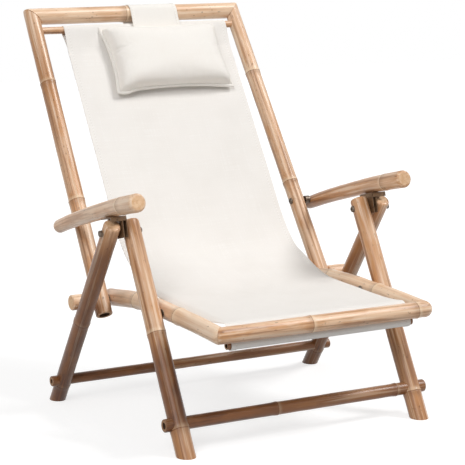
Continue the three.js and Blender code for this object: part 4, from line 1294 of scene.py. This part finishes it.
def ring_rows(length: float, outer: float, inner: float, hexagonal: bool) -> tuple[Turned, ...]:
    """Shapes a washer, spacer or nut with chamfered rims, as a closed ring.

    Args:
        length: Its length along its axis.
        outer: Its outer radius.
        inner: Its bore's radius.
        hexagonal: Whether it is six-sided.

    Returns:
        The fitting's rows.
    """
    rim = min(0.4 * MM, length / 4)
    return (Turned(0.0, inner), Turned(0.0, outer - rim * 2), Turned(rim, outer, hexagonal),
            Turned(length - rim, outer, hexagonal), Turned(length, outer - rim * 2),
            Turned(length, inner), Turned(0.0, inner))


@dataclass(frozen=True)
class Hardware:
    """Every bolt, screw, nut, washer and spacer, each where its solid is."""

    leg_pivot: Vector
    bolt: Screw = Screw(head=0.0155, shank=0.008, rise=0.005, socket=0.0055)
    small: Screw = Screw(head=0.008, shank=0.004, rise=0.002, socket=0.0025)
    small_length: float = 0.018
    small_pitch: float = 0.036
    small_sunk: float = 0.3 * MM
    nut_width: float = 0.014
    bore: float = 0.0044
    six_sided: tuple[str, ...] = ("leg_pivot_nut", "leg_pivot_spacer", "back_pivot_nut")
    kinds: tuple[tuple[str, str], ...] = (
        ("leg_pivot_bolt", "front_legs"), ("leg_pivot_nut", "front_legs"),
        ("leg_pivot_spacer", "front_legs"), ("seat_pivot_screw", "front_legs"),
        ("seat_pivot_washer", "front_legs"), ("back_pivot_screw", "seat"),
        ("back_pivot_washer", "seat"), ("back_pivot_nut", "seat"),
        ("arm_pivot_screw", "back"), ("arm_pivot_spacer", "back"))

    def pivots(self) -> Iterator[Fastener]:
        """Reads each pivot fitting's place from its solid, and describes its finer form.

        Yields:
            Each fitting in turn.
        """
        for kind, body in self.kinds:
            for word, side in SIDES.items():
                low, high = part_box(f"{kind}_{word}")
                middle = (low + high) / 2
                start = Vector((low.x if side > 0 else high.x, middle.y, middle.z))
                length, outer = high.x - low.x, (high.z - low.z) / 2
                if kind.endswith(("bolt", "screw")):
                    start.x += side * self.bolt.rise
                    rows = self.bolt.rows(length - self.bolt.rise)
                else:
                    nut = kind in self.six_sided
                    across_corners = self.nut_width / 2 / math.cos(math.radians(30))
                    rows = ring_rows(length, across_corners if nut else outer, self.bore, nut)
                yield Fastener(f"{kind}_{word}", body, start, ACROSS * side, rows)

    def bracket_screws(self, arm: Armrest) -> Iterator[Fastener]:
        """Describes the two screws that hold an armrest on its bracket, driven from below.

        Args:
            arm: The armrest.

        Yields:
            Each screw in turn.
        """
        stand = Stand(self.leg_pivot, arm.bracket_lean)
        for row, end in (("front", -1), ("rear", 1)):
            place = stand.at(arm.side * arm.arm_x, end * self.small_pitch / 2,
                             arm.bracket_top - arm.sheet - self.small_sunk)
            yield Fastener(f"bracket_screw_{row}_{arm.word}", arm.body, place,
                           stand.turned(0, 0, 1), self.small.rows(self.small_length), 24)


# Cloth.

def two_layers(rows: int, wide: int) -> list[list[int]]:
    """Joins two layers of vertices, each in rows, to one closed skin.

    Args:
        rows: How many rows a layer has.
        wide: How many vertices a row has.

    Returns:
        The faces of both layers, and of the rim between them.
    """
    back, last = rows * wide, (rows - 1) * wide
    faces = []
    for row in range(rows - 1):
        for a in range(row * wide, row * wide + wide - 1):
            b = a + wide
            faces.append([a, a + 1, b + 1, b])
            faces.append([back + a, back + b, back + b + 1, back + a + 1])
    rim = [*range(wide), *range(2 * wide - 1, back, wide), *range(back - 2, last - 1, -1),
           *range(last - wide, 0, -wide)]
    return faces + [[a, back + a, back + b, b] for a, b in zip(rim, [*rim[1:], rim[0]])]


@dataclass(frozen=True)
class ClothStrip:
    """A strip of cloth of one width along a line, with a folded hem on both long edges."""

    name: str
    line: Line
    width: float
    thickness: float
    hem: float
    stations: Numbers
    columns: int
    offset: Callable[[float, float], float]
    shift: Callable[[float], float]
    seams: Numbers
    stitch: float = 11 * MM
    hem_fold: float = 0.9 * MM
    groove_depth: float = 0.25 * MM
    groove_reach: float = 0.9 * MM
    # The columns by an edge: some by their distance from it, and the rest by shares of the hem.
    edge_columns: Numbers = (0.0, 0.4 * MM, 1.5 * MM)
    hem_columns: Numbers = (0.45, 0.8, 0.95, 1.05, 1.2)
    # The cloth grows to its thickness over this distance, from this share of it at the edge.
    edge_reach: float = 2.4 * MM
    edge_share: float = 0.12
    sharp_angle: float = math.radians(70)

    def across(self) -> list[float]:
        """Places the columns across the strip, close together along the hems.

        Returns:
            The columns' places, from one edge to the other.
        """
        half = self.width / 2
        hemmed = [*self.edge_columns, *(share * self.hem for share in self.hem_columns)]
        start = hemmed[-1]
        middle = [start + (half - start) * i / self.columns for i in range(1, self.columns)]
        left = [place - half for place in (*hemmed, *middle)]
        return [*left, 0.0, *(-place for place in reversed(left))]

    def build(self, material: Material) -> Piece:
        """Builds the strip as a thin closed solid with its cloth attributes.

        Args:
            material: The cloth's finish.

        Returns:
            The strip's object.
        """
        columns, half = self.across(), self.width / 2
        vertices, cloth, hem_gaps = [], [], []
        for layer in (-1, 1):
            for distance in self.stations:
                centre, along = self.line.at(distance), self.line.along(distance)
                behind = ACROSS.cross(along)
                seam = min(abs(distance - place) for place in self.seams)
                for x in columns:
                    edge = half - abs(x)
                    grown = clamped(max(edge, 0.0) / self.edge_reach + self.edge_share)
                    groove = self.groove_depth * bell(
                        min(abs(edge - self.stitch), seam), self.groove_reach)
                    lift = self.offset(distance, x / half)
                    lift += layer * (self.thickness / 2 * math.sqrt(grown) - groove)
                    if layer > 0 and edge < self.hem:
                        lift += self.hem_fold
                    vertices.append(centre + ACROSS * (x + self.shift(distance)) + behind * lift)
                    cloth.append((x + half, distance, 0.0))
                    hem_gaps.append(min(edge, seam + self.stitch))
        # The rows run down the cloth, so each face is turned over.
        faces = [[face[0], *face[:0:-1]] for face in two_layers(len(self.stations), len(columns))]
        made = new_object(self.name, vertices, faces, (material,))
        set_attribute(made, "cloth", cloth)
        set_attribute(made, "hem_gap", hem_gaps)
        made.data.set_sharp_from_angle(angle=self.sharp_angle)
        return made


@dataclass(frozen=True)
class Ripple:
    """Gentle waves in a cloth, from one layer of the noise."""

    height: float
    across: float
    along: float
    layer: float

    def at(self, across: float, along: float) -> float:
        """The waves' height at a place."""
        place = Vector((across * self.across, along * self.along, self.layer))
        return self.height * noise.noise(place)


def even_stations(length: float, step: float, fine: float, fine_reach: float) -> Numbers:
    """Divides a length, more finely near both ends.

    Args:
        length: The length.
        step: The distance between two stations.
        fine: The same near the ends.
        fine_reach: How far in from an end the fine ones go.

    Returns:
        The stations' distances, from zero to the length.
    """
    places = [0.0]
    while places[-1] < length - 1e-6:
        near_end = places[-1] < fine_reach or places[-1] > length - fine_reach
        places.append(min(length, places[-1] + (fine if near_end else step)))
    return tuple(places)


@dataclass(frozen=True)
class Sling:
    """The canvas sling: a pocket round each rod and one taut sheet between them."""

    pivot: Vector
    width: float = 0.460
    thickness: float = 1.3 * MM
    hem: float = 14 * MM
    top_rod: Pair = (0.39358, 0.60412)
    front_rod: Pair = (-0.48985, -0.01583)
    # The cloth's own line round a rod, and the directions in which it is there.
    wrap: float = 10.4 * MM
    top_turn: Numbers = (-8, 30, 60, 90, 120, 150, 188)
    front_turn: Numbers = (85, 120, 150, 180, 210, 240, 270, 300, 325)
    # The top pocket's lower parts, by distance down from the rod and out behind it.
    pocket_under: Profile = ((0.054, 0.0028), (0.034, 0.0048))
    pocket_over: Pair = (0.032, -0.0042)
    pocket_seam: float = 0.040
    front_seam: float = 12 * MM
    line: Profile = (
        (0.38722, 0.59451), (0.26048, 0.42234), (0.13374, 0.25017), (0.04376, 0.12793),
        (0.00123, 0.08642), (-0.05284, 0.06176), (-0.133, 0.040), (-0.30031, 0.03165),
        (-0.46761, 0.0273))
    line_steps: int = 60
    # How far down the line the open span begins, below the top pocket.
    open_from: float = 0.050
    seat_point: int = 6
    front_edge: Profile = ((-0.47892, 0.02261), (-0.48361, 0.0113), (-0.48, -0.0035))
    pocket_end: Pair = (-0.4826, -0.0030)
    hip: Pair = (0.007, 0.078)
    hip_distance: float = 0.64136
    bend_reach: float = 0.105
    top_shift: float = 0.018
    sag: float = 0.012
    fold_depth: float = 1.2 * MM
    folds: int = 2
    slack: tuple[Ripple, ...] = (
        Ripple(1.3 * MM, 1.6, 2.4, 0.3), Ripple(0.5 * MM, 1.6 * 4.2, 2.4 * 4.2, 0.3 * 4.2))
    hip_crease: Ripple = Ripple(1.2 * MM, 2.2, 30, 1.0)
    crease_reach: float = 0.07
    # The edges roll down beside the seat rails, from a little way past the hip.
    edge_roll: float = 9 * MM
    roll_share: float = 0.1
    roll_from: float = 0.06
    roll_grows: float = 0.12

    def place(self, y: float, z: float) -> Vector:
        """A place on the chair's middle plane, from the back pivot."""
        return self.pivot + Vector((0, y, z))

    def path(self) -> tuple[Line, float, float]:
        """Runs the cloth's line from one pocket's end to the other's.

        Returns:
            The whole line, where the cloth's open span starts, and how long that span is.
        """
        span = Line([self.place(*point) for point in self.line])
        down = span.along(0.0)
        behind = ACROSS.cross(down)
        rod, front = self.place(*self.top_rod), self.place(*self.front_rod)
        under = [rod + down * along + behind * out for along, out in self.pocket_under]
        wrap = [rod + (behind * math.cos(a) - down * math.sin(a)) * self.wrap
                for a in map(math.radians, self.top_turn)]
        over = rod + down * self.pocket_over[0] + behind * self.pocket_over[1]
        head = [*under, *wrap, over]
        step = (span.length - self.open_from) / self.line_steps
        middle = [span.at(self.open_from + step * i) for i in range(self.line_steps + 1)]
        round_rod = [front + Vector((0, math.sin(a), math.cos(a))) * self.wrap
                     for a in map(math.radians, self.front_turn)]
        foot = [*(self.place(*point) for point in self.front_edge), *round_rod,
                self.place(*self.pocket_end)]
        before = Line([*head, middle[0]], steps=8).length - self.open_from
        return Line([*head, *middle, *foot], steps=8), before, span.length

    def build(self, finishes: Finishes) -> Piece:
        """Builds the sling and bends it between the seat and the back.

        Args:
            finishes: The chair's materials.

        Returns:
            The sling's object.
        """
        whole, before, span = self.path()

        def offset(distance: float, across: float) -> float:
            """Hangs the cloth behind its line, with its folds and small creases.

            Args:
                distance: A place's distance along the whole line.
                across: Its place across the cloth, from -1 to 1.

            Returns:
                How far the cloth is behind the line there.
            """
            along = min(max(distance - before, 0.0), span)
            tautness = math.sin(math.pi * along / span)
            folds = self.fold_depth * math.cos(math.pi * self.folds * across)
            slack = sum(ripple.at(across, along) for ripple in self.slack)
            past_hip = along - self.hip_distance
            crease = bell(past_hip, self.crease_reach) * self.hip_crease.at(across, along)
            on_seat = (clamped((past_hip - self.roll_from) / self.roll_grows)
                       * min(1.0, (span - along) / self.roll_from))
            inner = 1 - self.roll_share
            rolled = self.edge_roll * on_seat * max(
                0.0, (abs(across) - inner) / self.roll_share) ** 2
            return tautness * (self.sag * (1 - across * across) + folds + slack) + crease + rolled

        def shift(distance: float) -> float:
            """The cloth lies a little to one side at the top rod."""
            straight = self.hip_distance - self.bend_reach
            return self.top_shift * clamped(1 - (distance - before) / straight)

        made = ClothStrip(
            "canvas_sling", whole, self.width, self.thickness, self.hem,
            even_stations(whole.length, step=7 * MM, fine=1.8 * MM, fine_reach=0.15),
            columns=22, offset=offset, shift=shift,
            seams=(before + self.pocket_seam, whole.length - self.front_seam)
        ).build(finishes.canvas)
        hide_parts("canvas_back", "canvas_bend", "canvas_seat", "canvas_front_fold",
                    "canvas_top_sleeve", "canvas_front_sleeve")
        hip = self.place(*self.hip)
        to_back = (self.place(*self.line[0]) - hip).normalized()
        to_seat = (self.place(*self.line[self.seat_point]) - hip).normalized()
        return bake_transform(made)


def inflate(pad: Piece, pinned: str, pressure: float, cap: float,
            frames: int = 20) -> None:
    """Blows up a closed cloth mesh, and leaves the result in its mesh.

    Args:
        pad: The object to blow up.
        pinned: A vertex group that stays in place.
        pressure: The cloth's inner pressure.
        cap: How far a point may move, in metres.
        frames: How long the simulation runs.
    """
    rest = np.array([v.co for v in pad.data.vertices])
    modifier = pad.modifiers.new("filling", "CLOTH")
    cloth = modifier.settings
    cloth.quality = 6
    cloth.mass = 0.15
    cloth.tension_stiffness = cloth.compression_stiffness = cloth.shear_stiffness = 18
    cloth.bending_stiffness = 0.6
    cloth.use_pressure = True
    cloth.uniform_pressure_force = pressure
    cloth.vertex_group_mass = pinned
    cloth.effector_weights.gravity = 0
    scene = bpy.context.scene
    for frame in range(1, frames + 1):
        scene.frame_set(frame)
    solved = pad.evaluated_get(bpy.context.evaluated_depsgraph_get())
    moved = np.array([v.co for v in solved.data.vertices]) - rest
    pad.modifiers.remove(modifier)
    scene.frame_set(1)
    reach = np.linalg.norm(moved, axis=1, keepdims=True)
    capped = moved * np.minimum(1.0, cap / np.maximum(reach, 1e-9))
    pad.data.vertices.foreach_set("co", (rest + capped).astype(np.float32).ravel())
    pad.data.update()


@dataclass(frozen=True)
class HeadPillow:
    """The stuffed head pillow, with a pinched and piped seam all round."""

    pivot: Vector
    centre: tuple[float, float, float] = (0.044, 0.32576, 0.52924)
    lean: float = math.radians(36.358)
    width: float = 0.322
    height: float = 0.184
    crown: float = 0.050
    back_crown: float = 0.009
    seam: float = 0.004
    draw_in: float = 0.011
    # One corner droops: by how much, where it does so most, and how far to each side.
    ear: tuple[float, float, float] = (6 * MM, 22 * MM, 16 * MM)
    start_share: float = 0.86
    cells: tuple[int, int] = (48, 28)
    voxel: float = 5 * MM
    # What the stuffing leaves in place: the seam, and the back from this share of its crown.
    held_seam: float = 9 * MM
    held_back: float = 0.6
    flat_seam: float = 8 * MM
    pressure: float = 4.0
    pressed_out: float = 12 * MM
    # Creases run in from the seam. At a corner they are deeper by a share.
    left_creases: Ripple = Ripple(1.4 * MM, 75, 14, 8.4)
    right_creases: Ripple = Ripple(1.4 * MM, 75, 14, 3.1)
    corner_share: float = 1.6 / 1.4
    crease_reach: float = 22 * MM
    soft_waves: Ripple = Ripple(1.1 * MM, 16, 16, 5.0)
    # Two dents at the left side, each by its height there and its slope.
    dents: Profile = ((0.016, 0.05), (0.002, 0.35))
    dent_depth: float = 3.4 * MM
    dent_width: float = 3.2 * MM
    dent_length: float = 12 * MM
    piping: Pair = (4.6 * MM, 4.2 * MM)
    piping_sides: int = 12
    piping_steps: int = 26
    piping_wander: Ripple = Ripple(1.3 * MM, 17, 17, 2.0)
    piping_lead: float = 0.4 * MM
    # The piping goes a little outside the cover's outline, and swells here and there.
    piping_spread: Pair = (1.006, 1.008)
    piping_swell: Pair = (0.12, 90)

    @property
    def stand(self) -> Stand:
        """The pillow's own frame, with its front to -Y."""
        return Stand(self.pivot + Vector(self.centre), self.lean)

    def outline(self, across: float, up: float) -> Pair:
        """Places a point on the pillow's plan, whose sides draw in between its corners.

        Args:
            across: Its place to the right, from -1 to 1.
            up: Its place upward, from -1 to 1.

        Returns:
            Its X and Z in the pillow's own frame.
        """
        x = across * self.width / 2 - self.draw_in * across ** 3 * (1 - up ** 2)
        z = up * self.height / 2 - self.draw_in * up ** 3 * (1 - across ** 2)
        droop, place, reach = self.ear
        return x, z - droop * bell(x + self.width / 2 - place, reach) * max(0.0, -up) ** 5

    def shell(self, material: Material) -> Piece:
        """Cuts the slack cover before it is stuffed, in the pillow's own frame.

        Args:
            material: The cover's finish.

        Returns:
            The cover's object.
        """
        wide, tall = self.cells
        vertices = []
        for sign, crown in ((-1, self.crown), (1, self.back_crown)):
            for row in range(tall + 1):
                for column in range(wide + 1):
                    across, up = 2 * column / wide - 1, 2 * row / tall - 1
                    full = math.sqrt(max(0.0, (1 - across ** 6) * (1 - up ** 6)))
                    x, z = self.outline(across, up)
                    depth = sign * (self.seam / 2 + crown * self.start_share * full)
                    vertices.append((x, depth, z))
        return new_object("pillow_cushion", vertices, two_layers(tall + 1, wide + 1), (material,))

    def seam_gap(self, place: Vector) -> float:
        """About how far a place lies in from the seam."""
        return min(self.width / 2 - abs(place.x), self.height / 2 - abs(place.z))

    def stuff(self, pad: Piece) -> None:
        """Remeshes the cover, and blows it up between its held seams.

        Args:
            pad: The slack cover.
        """
        apply_modifier(pad, "REMESH", mode="VOXEL", voxel_size=self.voxel)
        group = pad.vertex_groups.new(name="seam")
        for vertex in pad.data.vertices:
            held = (self.seam_gap(vertex.co) < self.held_seam
                    or vertex.co.y > self.back_crown * self.held_back)
            group.add([vertex.index], float(held), "REPLACE")
        inflate(pad, "seam", self.pressure, self.pressed_out)

    def pucker(self, pad: Piece) -> None:
        """Draws small creases from the seam into the front, deepest at the corners.

        Args:
            pad: The stuffed cushion.
        """
        for vertex in pad.data.vertices:
            place = vertex.co
            if place.y > 0:
                continue
            gap = max(self.seam_gap(place), 0.0)
            to_side, to_top = self.width / 2 - abs(place.x), self.height / 2 - abs(place.z)
            run = place.x if to_top < to_side else place.z
            corner = min(1.0, (abs(place.x) / self.width * 2) ** 6
                         + (abs(place.z) / self.height * 2) ** 6)
            creases = self.right_creases if place.x > 0 else self.left_creases
            rise = (math.exp(-gap / self.crease_reach) * (1 + self.corner_share * corner)
                    * creases.at(run, gap) + self.soft_waves.at(place.x, place.z))
            from_left = place.x + self.width / 2
            for level, slope in self.dents:
                rise -= (self.dent_depth
                         * bell(place.z - level - slope * from_left, self.dent_width)
                         * bell(max(0.0, from_left - self.dent_length), self.crease_reach))
            vertex.co.y -= rise * min(1.0, gap / self.flat_seam)

    def carry(self, piece: Piece) -> None:
        """Moves a mesh from the pillow's own frame to the chair's.

        Args:
            piece: The cushion or the piping.
        """
        for vertex in piece.data.vertices:
            vertex.co = self.stand.at(*vertex.co)
        piece.data.update()

    def dress(self, piece: Piece) -> None:
        """Stores the cloth's flat place at each vertex, for the weave.

        Args:
            piece: The cushion or the piping.
        """
        flat = [(v.co.x + 1, v.co.z + 1, 0.0) for v in piece.data.vertices]
        set_attribute(piece, "cloth", flat)
        set_attribute(piece, "hem_gap", np.ones(len(flat)))

    def piped_seam(self, material: Material) -> Piece:
        """Runs the piping, a soft flattened tube, along the seam, where it wanders a little.

        Args:
            material: The cover's finish.

        Returns:
            The piping's object.
        """
        centres = []
        for side in range(4):
            for i in range(self.piping_steps):
                t = 2 * i / self.piping_steps - 1
                x, z = self.outline(*((t, -1), (1, t), (-t, 1), (-1, -t))[side])
                y = self.piping_wander.at(x, z) - self.piping_lead
                centres.append(Vector((x * self.piping_spread[0], y, z * self.piping_spread[1])))
        vertices = []
        for before, centre, after in zip([centres[-1], *centres], centres,
                                         [*centres[1:], centres[0]]):
            outward = (after - before).normalized().cross(Vector((0, 1, 0))).normalized()
            swell = 1 + self.piping_swell[0] * noise.noise(centre * self.piping_swell[1])
            wide, deep = (radius * swell for radius in self.piping)
            for k in range(self.piping_sides):
                angle = math.tau * k / self.piping_sides
                vertices.append(centre + outward * (math.cos(angle) * wide)
                                + Vector((0, math.sin(angle) * deep, 0)))
        rings = numbered(len(centres), self.piping_sides)
        return new_object("pillow_piping", vertices, lofted([*rings, rings[0]]), (material,))

    def build(self, finishes: Finishes) -> tuple[Piece, Piece]:
        """Builds the cushion and its piping, which ride on the back.

        Args:
            finishes: The chair's materials.

        Returns:
            The cushion and the piping.
        """
        pad = self.shell(finishes.pillow)
        self.stuff(pad)
        apply_modifier(pad, "SUBSURF", levels=1, render_levels=1)
        self.pucker(pad)
        pad.data.shade_smooth()
        piping = self.piped_seam(finishes.pillow)
        for piece in (pad, piping):
            self.dress(piece)
            self.carry(piece)
            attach(piece, "back")
        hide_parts("pillow")
        return pad, piping


@dataclass(frozen=True)
class PillowStrap:
    """The broad band that hangs the pillow over the top bar, with its tail behind."""

    pivot: Vector
    pillow: HeadPillow
    bar: Pair = (0.41621, 0.63831)
    off_bar: float = 0.022
    back_lean: float = math.radians(33.5)
    width: float = 0.132
    thickness: float = 1.8 * MM
    hem: float = 8 * MM
    stitch: float = 6 * MM
    end_seam: float = 14 * MM
    tail: float = 0.105
    under_seam: float = 2 * MM
    # The band is free of the bar from here on, and waves more with each such distance.
    free_from: float = 0.12
    free_step: float = 0.1
    waves: Ripple = Ripple(2.2 * MM, 1.4, 9, 4.0)
    creases: Ripple = Ripple(0.25 * MM, 5, 40, 7.0)

    def build(self, finishes: Finishes) -> Piece:
        """Builds the band, which rides on the back.

        Args:
            finishes: The chair's materials.

        Returns:
            The band's object.
        """
        bar = self.pivot + Vector((0, *self.bar))
        turn = [self.back_lean - math.pi / 2 + (math.pi - self.back_lean) * i / 8
                for i in range(9)]
        arc = [bar + Vector((0, math.sin(a), math.cos(a))) * self.off_bar for a in turn]
        middle = Stand(self.pivot + Vector((0, *self.pillow.centre[1:])), self.pillow.lean)
        drawn = self.pillow.draw_in * (1 - (self.width / self.pillow.width) ** 2)
        seam = middle.at(0, -self.pillow.piping_lead,
                         self.pillow.height / 2 - drawn - self.under_seam)
        hanging = [arc[-1] - UPWARD * self.tail * share for share in (0.5, 1)]
        line = Line([seam, *arc, *hanging], steps=10)

        def offset(distance: float, across: float) -> float:
            """Hangs the band in slight waves, which die out over the bar.

            Args:
                distance: A place's distance along the line.
                across: Its place across the band, from -1 to 1.

            Returns:
                How far the band is behind the line there.
            """
            free = max(0.0, distance - self.free_from) / self.free_step
            return self.creases.at(across, distance) - abs(free * self.waves.at(across, distance))

        made = ClothStrip(
            "pillow_strap_band", line, self.width, self.thickness, self.hem,
            even_stations(line.length, step=3 * MM, fine=1.5 * MM, fine_reach=0.02),
            columns=14, offset=offset, shift=lambda _: self.pillow.centre[0],
            seams=(line.length - self.end_seam,), stitch=self.stitch
        ).build(finishes.pillow)
        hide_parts("pillow_strap")
        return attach(made, "back")


# Studio.

@dataclass(frozen=True)
class Studio:
    """A white floor and surround, soft lamps, and the camera at the photograph's angle."""

    camera_place: tuple[float, float, float] = (-2.01161, -3.65037, 1.14632)
    lens: float = 137.13
    shift: Pair = (0.00374, -0.01874)
    yaw: float = -0.508667
    pitch: float = 0.171326
    roll: float = -0.0038265
    floor_size: float = 16.0
    daylight: float = 0.35
    floor_colour: str = "b6b6b6"
    floor_mottle: str = "b8b8ba"
    floor_glow: float = 0.68
    white: Numbers = (1, 1, 1, 1)

    def camera(self) -> None:
        """Sets the camera in the photograph's place."""
        data = bpy.data.cameras.new("photo_camera")
        data.sensor_width = 36
        data.lens = self.lens
        data.shift_x, data.shift_y = self.shift
        made = bpy.data.objects.new("photo_camera", data)
        bpy.context.scene.collection.objects.link(made)
        ahead = math.cos(self.pitch)
        forward = Vector((-math.sin(self.yaw) * ahead, math.cos(self.yaw) * ahead,
                          -math.sin(self.pitch)))
        right = Vector((math.cos(self.yaw), math.sin(self.yaw), 0))
        up = right.cross(forward)
        cosine, sine = math.cos(self.roll), math.sin(self.roll)
        turn = Matrix((right * cosine + up * sine, up * cosine - right * sine, -forward))
        made.matrix_world = Matrix.Translation(self.camera_place) @ turn.transposed().to_4x4()
        bpy.context.scene.camera = made

    def lamp(self, name: str, towards: tuple[float, float, float], strength: float,
             softness: float) -> None:
        """Adds a far soft lamp.

        Args:
            name: The lamp's name.
            towards: The direction from the chair to it.
            strength: Its strength.
            softness: How wide it looks from the chair, in degrees.
        """
        data = bpy.data.lights.new(name, "SUN")
        data.energy, data.angle = strength, math.radians(softness)
        made = bpy.data.objects.new(name, data)
        made.rotation_euler = Vector(towards).to_track_quat("Z", "Y").to_euler()
        bpy.context.scene.collection.objects.link(made)

    def seen(self, tree: Tree) -> Socket:
        """Tells the rays that show the scene from those that light it.

        Args:
            tree: The node tree.

        Returns:
            One for rays from the camera, in a reflection or through glass, and zero for others.
        """
        path = add_node(tree, "ShaderNodeLightPath")
        shiny = add_node(tree, "ShaderNodeMath", {"operation": "MAXIMUM"},
                         {0: path.outputs["Is Glossy Ray"], 1: path.outputs["Is Transmission Ray"]})
        return add_node(tree, "ShaderNodeMath", {"operation": "MAXIMUM"},
                        {0: path.outputs["Is Camera Ray"], 1: shiny.outputs[0]}).outputs[0]

    def surround(self) -> None:
        """Lights the scene evenly, and shows plain white behind it."""
        world = bpy.data.worlds.new("white_surround")
        bpy.context.scene.world = world
        world.use_nodes = True
        tree = world.node_tree
        tree.nodes.clear()
        strength = add_node(tree, "ShaderNodeMapRange", {}, {
            "Value": self.seen(tree), "To Min": self.daylight, "To Max": 1.0})
        back = add_node(tree, "ShaderNodeBackground", {}, {"Color": self.white, "Strength": strength.outputs[0]})
        add_node(tree, "ShaderNodeOutputWorld", {}, {"Surface": back.outputs[0]})

    def floor(self) -> None:
        """Lays a painted floor that shows white and keeps the chair's shadow."""
        half = self.floor_size / 2
        material, tree = empty_material("matt_white_floor_paint")
        grain = add_node(tree, "ShaderNodeTexNoise", {}, {"Scale": 3.0, "Detail": 2.0}).outputs["Fac"]
        mottle = add_node(tree, "ShaderNodeMapRange", {}, {
            "Value": grain, "To Min": 0.0, "To Max": 0.02}).outputs[0]
        paint = layered(tree, linear(self.floor_colour), ((mottle, self.floor_mottle),))
        matt = add_node(tree, "ShaderNodeBsdfDiffuse", {}, {"Color": paint})
        glow = add_node(tree, "ShaderNodeMapRange", {}, {
            "Value": self.seen(tree), "To Min": 0.0, "To Max": self.floor_glow})
        lit = add_node(tree, "ShaderNodeEmission", {}, {"Color": self.white, "Strength": glow.outputs[0]})
        both = add_node(tree, "ShaderNodeAddShader", {}, {0: matt.outputs[0], 1: lit.outputs[0]})
        add_node(tree, "ShaderNodeOutputMaterial", {}, {"Surface": both.outputs[0]})
        corners = [(-half, -half, 0), (half, -half, 0), (half, half, 0), (-half, half, 0)]
        new_object("studio_floor", corners, [[0, 1, 2, 3]], (material,))

    def build(self) -> None:
        """Sets up the camera, lamps, surround and floor."""
        self.camera()
        self.surround()
        self.floor()
        self.lamp("key_lamp", (0.55, -0.32, 0.77), 1.7, 16)
        self.lamp("side_lamp", (-0.56, -0.52, 0.64), 1.2, 30)


def main() -> None:
    """Builds the chair's sub-assemblies in order, each with its finishes."""
    logging.basicConfig(level=logging.INFO, format="%(name)s: %(message)s")
    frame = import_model()
    bpy.context.scene.view_settings.view_transform = "Standard"
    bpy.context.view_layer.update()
    linkage = Linkage.of(frame["joints"])
    Studio().build()
    finishes = Finishes.made()
    arms = [Armrest(linkage.leg, word) for word in SIDES]
    frames = (LegPair(linkage.leg), LegPair.rear(linkage.leg), SeatFrame(linkage.back),
              BackFrame(linkage.back))
    for culm in [c for part in frames for c in part.culms()] + [arm.culm() for arm in arms]:
        LOG.info("built %s", culm.build(finishes).name)
    hardware = Hardware(linkage.leg)
    for arm in arms:
        LOG.info("built %s", arm.bracket(finishes).name)
    screws = [screw for arm in arms for screw in hardware.bracket_screws(arm)]
    for fastener in [*hardware.pivots(), *screws]:
        LOG.info("built %s", fastener.build(finishes).name)
    LOG.info("built %s", Sling(linkage.back).build(finishes).name)
    pillow = HeadPillow(linkage.back)
    LOG.info("built %s", [piece.name for piece in pillow.build(finishes)])
    LOG.info("built %s", PillowStrap(linkage.back, pillow).build(finishes).name)


if __name__ == "__main__":
    main()
